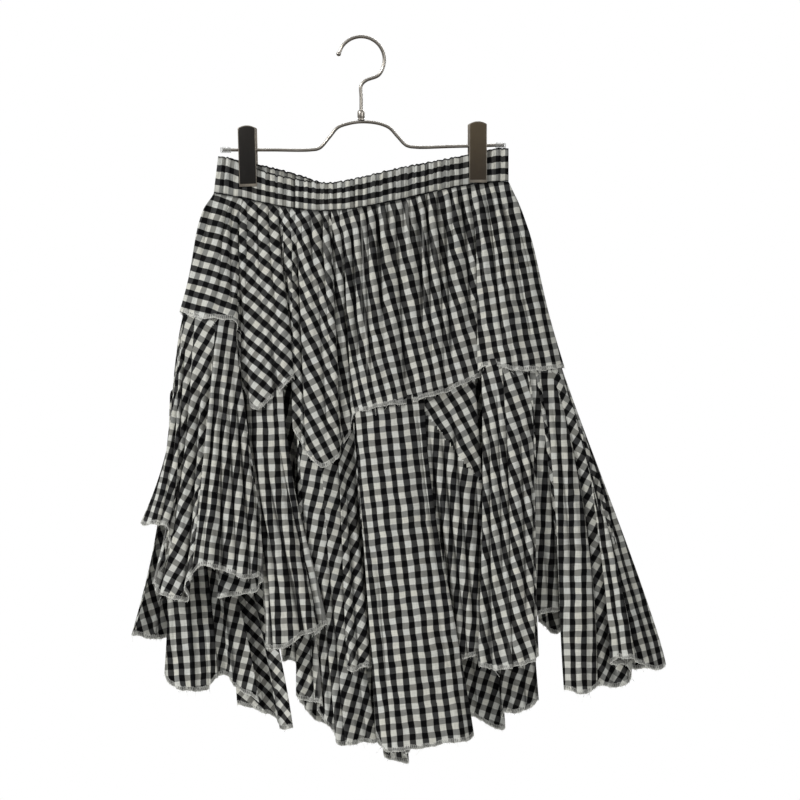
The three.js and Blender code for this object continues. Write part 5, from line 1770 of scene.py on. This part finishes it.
def set_stage():
    look = bpy.context.scene.skirt_stage
    bpy.context.scene.view_settings.view_transform = "Standard"
    bpy.context.scene.view_settings.exposure = 0
    set_camera()
    light_world(look)
    for lamp, power in zip(LAMPS, (look.key_power, look.fill_power, look.back_power)):
        hang_lamp(lamp, power)
    bm = bmesh.new()
    bmesh.ops.create_circle(bm, cap_ends=True, segments=96, radius=FLOOR_RADIUS)
    bmesh.ops.translate(bm, verts=bm.verts, vec=(0, 0, CAD_BOX[0][2] - FLOOR_DROP))
    floor = mesh_object("floor", bm, floor_material())


class SkirtCloth(bpy.types.PropertyGroup):
    check_repeat: bpy.props.FloatProperty(
        name="Check Repeat",
        description="One dark and one light stripe of the gingham",
        default=0.0135,
        unit="LENGTH",
    )
    check_softness: bpy.props.FloatProperty(
        name="Check Softness",
        description="How soft a stripe's edge is, as a share of a repeat",
        default=0.045,
    )
    check_wander: bpy.props.FloatProperty(
        name="Check Wander",
        description="How far the stripes stray from straight",
        default=0.003,
        unit="LENGTH",
    )
    thread_pitch: bpy.props.FloatProperty(
        name="Thread Pitch",
        description="Distance between the weave's threads",
        default=0.00045,
        unit="LENGTH",
    )
    wall: bpy.props.FloatProperty(
        name="Cloth Wall", description="Thickness of the cotton", default=0.0007, unit="LENGTH"
    )
    band_wall: bpy.props.FloatProperty(
        name="Band Wall", description="Thickness of the elastic casing", default=0.0016, unit="LENGTH"
    )
    white: bpy.props.FloatVectorProperty(
        name="White",
        description="White warp over white weft",
        default=(0.63, 0.63, 0.59),
        subtype="COLOR",
    )
    light_grey: bpy.props.FloatVectorProperty(
        name="Light Grey",
        description="White warp over black weft",
        default=(0.235, 0.235, 0.222),
        subtype="COLOR",
    )
    dark_grey: bpy.props.FloatVectorProperty(
        name="Dark Grey",
        description="Black warp over white weft",
        default=(0.043, 0.043, 0.043),
        subtype="COLOR",
    )
    black: bpy.props.FloatVectorProperty(
        name="Black",
        description="Black warp over black weft",
        default=(0.0015, 0.0015, 0.002),
        subtype="COLOR",
    )
    sheen: bpy.props.FloatProperty(
        name="Sheen", description="Soft light on the cotton's fibres", default=0.02, subtype="FACTOR"
    )
    fold_shadow: bpy.props.FloatProperty(
        name="Fold Shadow",
        description="How dark the bottom of a narrow fold is",
        default=0.8,
        subtype="FACTOR",
    )
    # the strength of the painted highlight along sharp ridges
    crest_light: bpy.props.FloatProperty(
        name="Crest Light",
        description="How pale the cloth is along a sharp ridge",
        default=0.35,
        subtype="FACTOR",
    )
    edge_width: bpy.props.FloatProperty(
        name="Edge Width", description="Width of the overcast stitching", default=0.005, unit="LENGTH"
    )
    stitch: bpy.props.FloatProperty(
        name="Stitch", description="Distance between overcast stitches", default=0.0022, unit="LENGTH"
    )
    edge_cover: bpy.props.FloatProperty(
        name="Edge Cover",
        description="How much of the cloth the edge's threads hide",
        default=0.36,
        subtype="FACTOR",
    )
    edge_thread: bpy.props.FloatVectorProperty(
        name="Edge Thread", description="Overcast thread", default=(0.95, 0.95, 0.89), subtype="COLOR"
    )
    edge_shade: bpy.props.FloatVectorProperty(
        name="Edge Shade",
        description="Between the overcast loops",
        default=(0.58, 0.58, 0.54),
        subtype="COLOR",
    )
    needle_thread: bpy.props.FloatVectorProperty(
        name="Needle Thread",
        description="Dark stitches along the edge",
        default=(0.04, 0.04, 0.04),
        subtype="COLOR",
    )
    fray_pitch: bpy.props.FloatProperty(
        name="Fray Pitch", description="Distance between loose threads", default=0.003, unit="LENGTH"
    )
    fray_length: bpy.props.FloatProperty(
        name="Fray Length", description="Length of a loose thread", default=0.0034, unit="LENGTH"
    )
    thread_width: bpy.props.FloatProperty(
        name="Thread Width", description="Width of a loose thread", default=0.0004, unit="LENGTH"
    )


class SkirtHanger(bpy.types.PropertyGroup):
    nickel: bpy.props.FloatVectorProperty(
        name="Nickel", description="Satin wire", default=(0.62, 0.58, 0.52), subtype="COLOR"
    )
    nickel_deep: bpy.props.FloatVectorProperty(
        name="Deep Nickel",
        description="Duller patches of the wire",
        default=(0.5, 0.465, 0.41),
        subtype="COLOR",
    )
    # the right clip's face, painted lit; its low tone is the darker end, mostly painted shade towards the
    # plate's foot
    bronze: bpy.props.FloatVectorProperty(
        name="Bronze",
        description="Face of the right clip",
        default=(0.088, 0.064, 0.034),
        subtype="COLOR",
    )
    bronze_low_shade: bpy.props.FloatVectorProperty(
        name="Low Bronze",
        description="Darker parts of the right clip",
        default=(0.046, 0.033, 0.02),
        subtype="COLOR",
    )
    # the left clip's face, painted in shade, and below it its darker end towards the plate's foot
    bronze_shaded: bpy.props.FloatVectorProperty(
        name="Dark Bronze",
        description="Face of the left clip",
        default=(0.0125, 0.0095, 0.0062),
        subtype="COLOR",
    )
    bronze_shaded_low: bpy.props.FloatVectorProperty(
        name="Deep Bronze",
        description="Darker parts of the left clip",
        default=(0.008, 0.0065, 0.005),
        subtype="COLOR",
    )
    rim: bpy.props.FloatVectorProperty(
        name="Rim", description="Worn edge of a clip", default=(0.46, 0.41, 0.34), subtype="COLOR"
    )
    rim_deep: bpy.props.FloatVectorProperty(
        name="Deep Rim",
        description="Less worn edge of a clip",
        default=(0.28, 0.25, 0.21),
        subtype="COLOR",
    )


class SkirtStage(bpy.types.PropertyGroup):
    key_power: bpy.props.FloatProperty(
        name="Key Light", description="From the upper left", default=92, unit="POWER"
    )
    fill_power: bpy.props.FloatProperty(
        name="Fill Light", description="From the right", default=15, unit="POWER"
    )
    back_power: bpy.props.FloatProperty(
        name="Back Light", description="From behind", default=50, unit="POWER"
    )
    room: bpy.props.FloatProperty(name="Room Light", description="Light of the pale room", default=0.38)
    backdrop: bpy.props.FloatProperty(
        name="Backdrop", description="Brightness behind the skirt", default=1.0
    )


class SKIRT_OT_waistband(bpy.types.Operator):
    """Make the elastic waistband's front and back"""

    bl_idname = "skirt.waistband"
    bl_label = "Waistband"

    def execute(self, context):
        hang_waistband("waistband_front", FRONT)
        hang_waistband("waistband_back", BACK)
        return {"FINISHED"}


class SKIRT_OT_upper_tier(bpy.types.Operator):
    """Make the gathered upper tier's front and back"""

    bl_idname = "skirt.upper_tier"
    bl_label = "Upper Tier"

    def execute(self, context):
        hang_upper_tier("upper_tier_front", FRONT)
        hang_upper_tier("upper_tier_back", BACK)
        return {"FINISHED"}


class SKIRT_OT_front_flounces(bpy.types.Operator):
    """Make the flounces, godets and panel below the upper tier's front"""

    bl_idname = "skirt.front_flounces"
    bl_label = "Front Flounces"

    def execute(self, context):
        for name, cut in LOWER_FRONT.items():
            hang_lower_piece(name, cut, FRONT)
        return {"FINISHED"}


class SKIRT_OT_back_flounces(bpy.types.Operator):
    """Make the flounces and panel below the upper tier's back"""

    bl_idname = "skirt.back_flounces"
    bl_label = "Back Flounces"

    def execute(self, context):
        for name, cut in LOWER_BACK.items():
            hang_lower_piece(name, cut, BACK)
        return {"FINISHED"}


class SKIRT_OT_wires(bpy.types.Operator):
    """Bend the hanger's bar and hook, and turn the ferrule between them"""

    bl_idname = "skirt.wires"
    bl_label = "Bar, Hook and Ferrule"

    def execute(self, context):
        bend_wires()
        return {"FINISHED"}


class SKIRT_OT_end_sleeves(bpy.types.Operator):
    """Put clear sleeves on the bar's ends"""

    bl_idname = "skirt.end_sleeves"
    bl_label = "End Sleeves"

    def execute(self, context):
        cap_bar_ends()
        return {"FINISHED"}


class SKIRT_OT_clips(bpy.types.Operator):
    """Fit the two sprung clips"""

    bl_idname = "skirt.clips"
    bl_label = "Clips"

    def execute(self, context):
        fit_clip("left", CLIP_LEFT_X, BAR_LEFT_DROP, CLIP_LEFT_TIP)
        fit_clip("right", CLIP_RIGHT_X, CLIP_RIGHT_DROP, 0)
        return {"FINISHED"}


class SKIRT_OT_stage(bpy.types.Operator):
    """Set the camera, the lights, the pale room and the floor"""

    bl_idname = "skirt.stage"
    bl_label = "Stage"

    def execute(self, context):
        set_stage()
        return {"FINISHED"}


class SKIRT_PT_panel(bpy.types.Panel):
    bl_idname = "SKIRT_PT_panel"
    bl_label = "Tiered Gingham Skirt"
    bl_space_type = "VIEW_3D"
    bl_region_type = "UI"
    bl_category = "Skirt"

    def draw(self, context):
        for label, group in (
            ("Cloth", context.scene.skirt_cloth),
            ("Hanger", context.scene.skirt_hanger),
            ("Stage", context.scene.skirt_stage),
        ):
            box = self.layout.box()
            box.label(text=label)
            for key in group.__annotations__:
                box.prop(group, key)
        for step in STEPS:
            self.layout.operator(step.bl_idname)


STEPS = (
    SKIRT_OT_waistband,
    SKIRT_OT_upper_tier,
    SKIRT_OT_front_flounces,
    SKIRT_OT_back_flounces,
    SKIRT_OT_wires,
    SKIRT_OT_end_sleeves,
    SKIRT_OT_clips,
    SKIRT_OT_stage,
)
GROUPS = {"skirt_cloth": SkirtCloth, "skirt_hanger": SkirtHanger, "skirt_stage": SkirtStage}


def register():
    for name, group in GROUPS.items():
        bpy.utils.register_class(group)
        setattr(bpy.types.Scene, name, bpy.props.PointerProperty(type=group))
    for step in (*STEPS, SKIRT_PT_panel):
        bpy.utils.register_class(step)


def unregister():
    for step in (SKIRT_PT_panel, *reversed(STEPS)):
        bpy.utils.unregister_class(step)
    for name, group in GROUPS.items():
        delattr(bpy.types.Scene, name)
        bpy.utils.unregister_class(group)


def main():
    register()
    bpy.ops.skirt.waistband()
    bpy.ops.skirt.upper_tier()
    bpy.ops.skirt.front_flounces()
    bpy.ops.skirt.back_flounces()
    bpy.ops.skirt.wires()
    bpy.ops.skirt.end_sleeves()
    bpy.ops.skirt.clips()
    bpy.ops.skirt.stage()


if __name__ == "__main__":
    main()
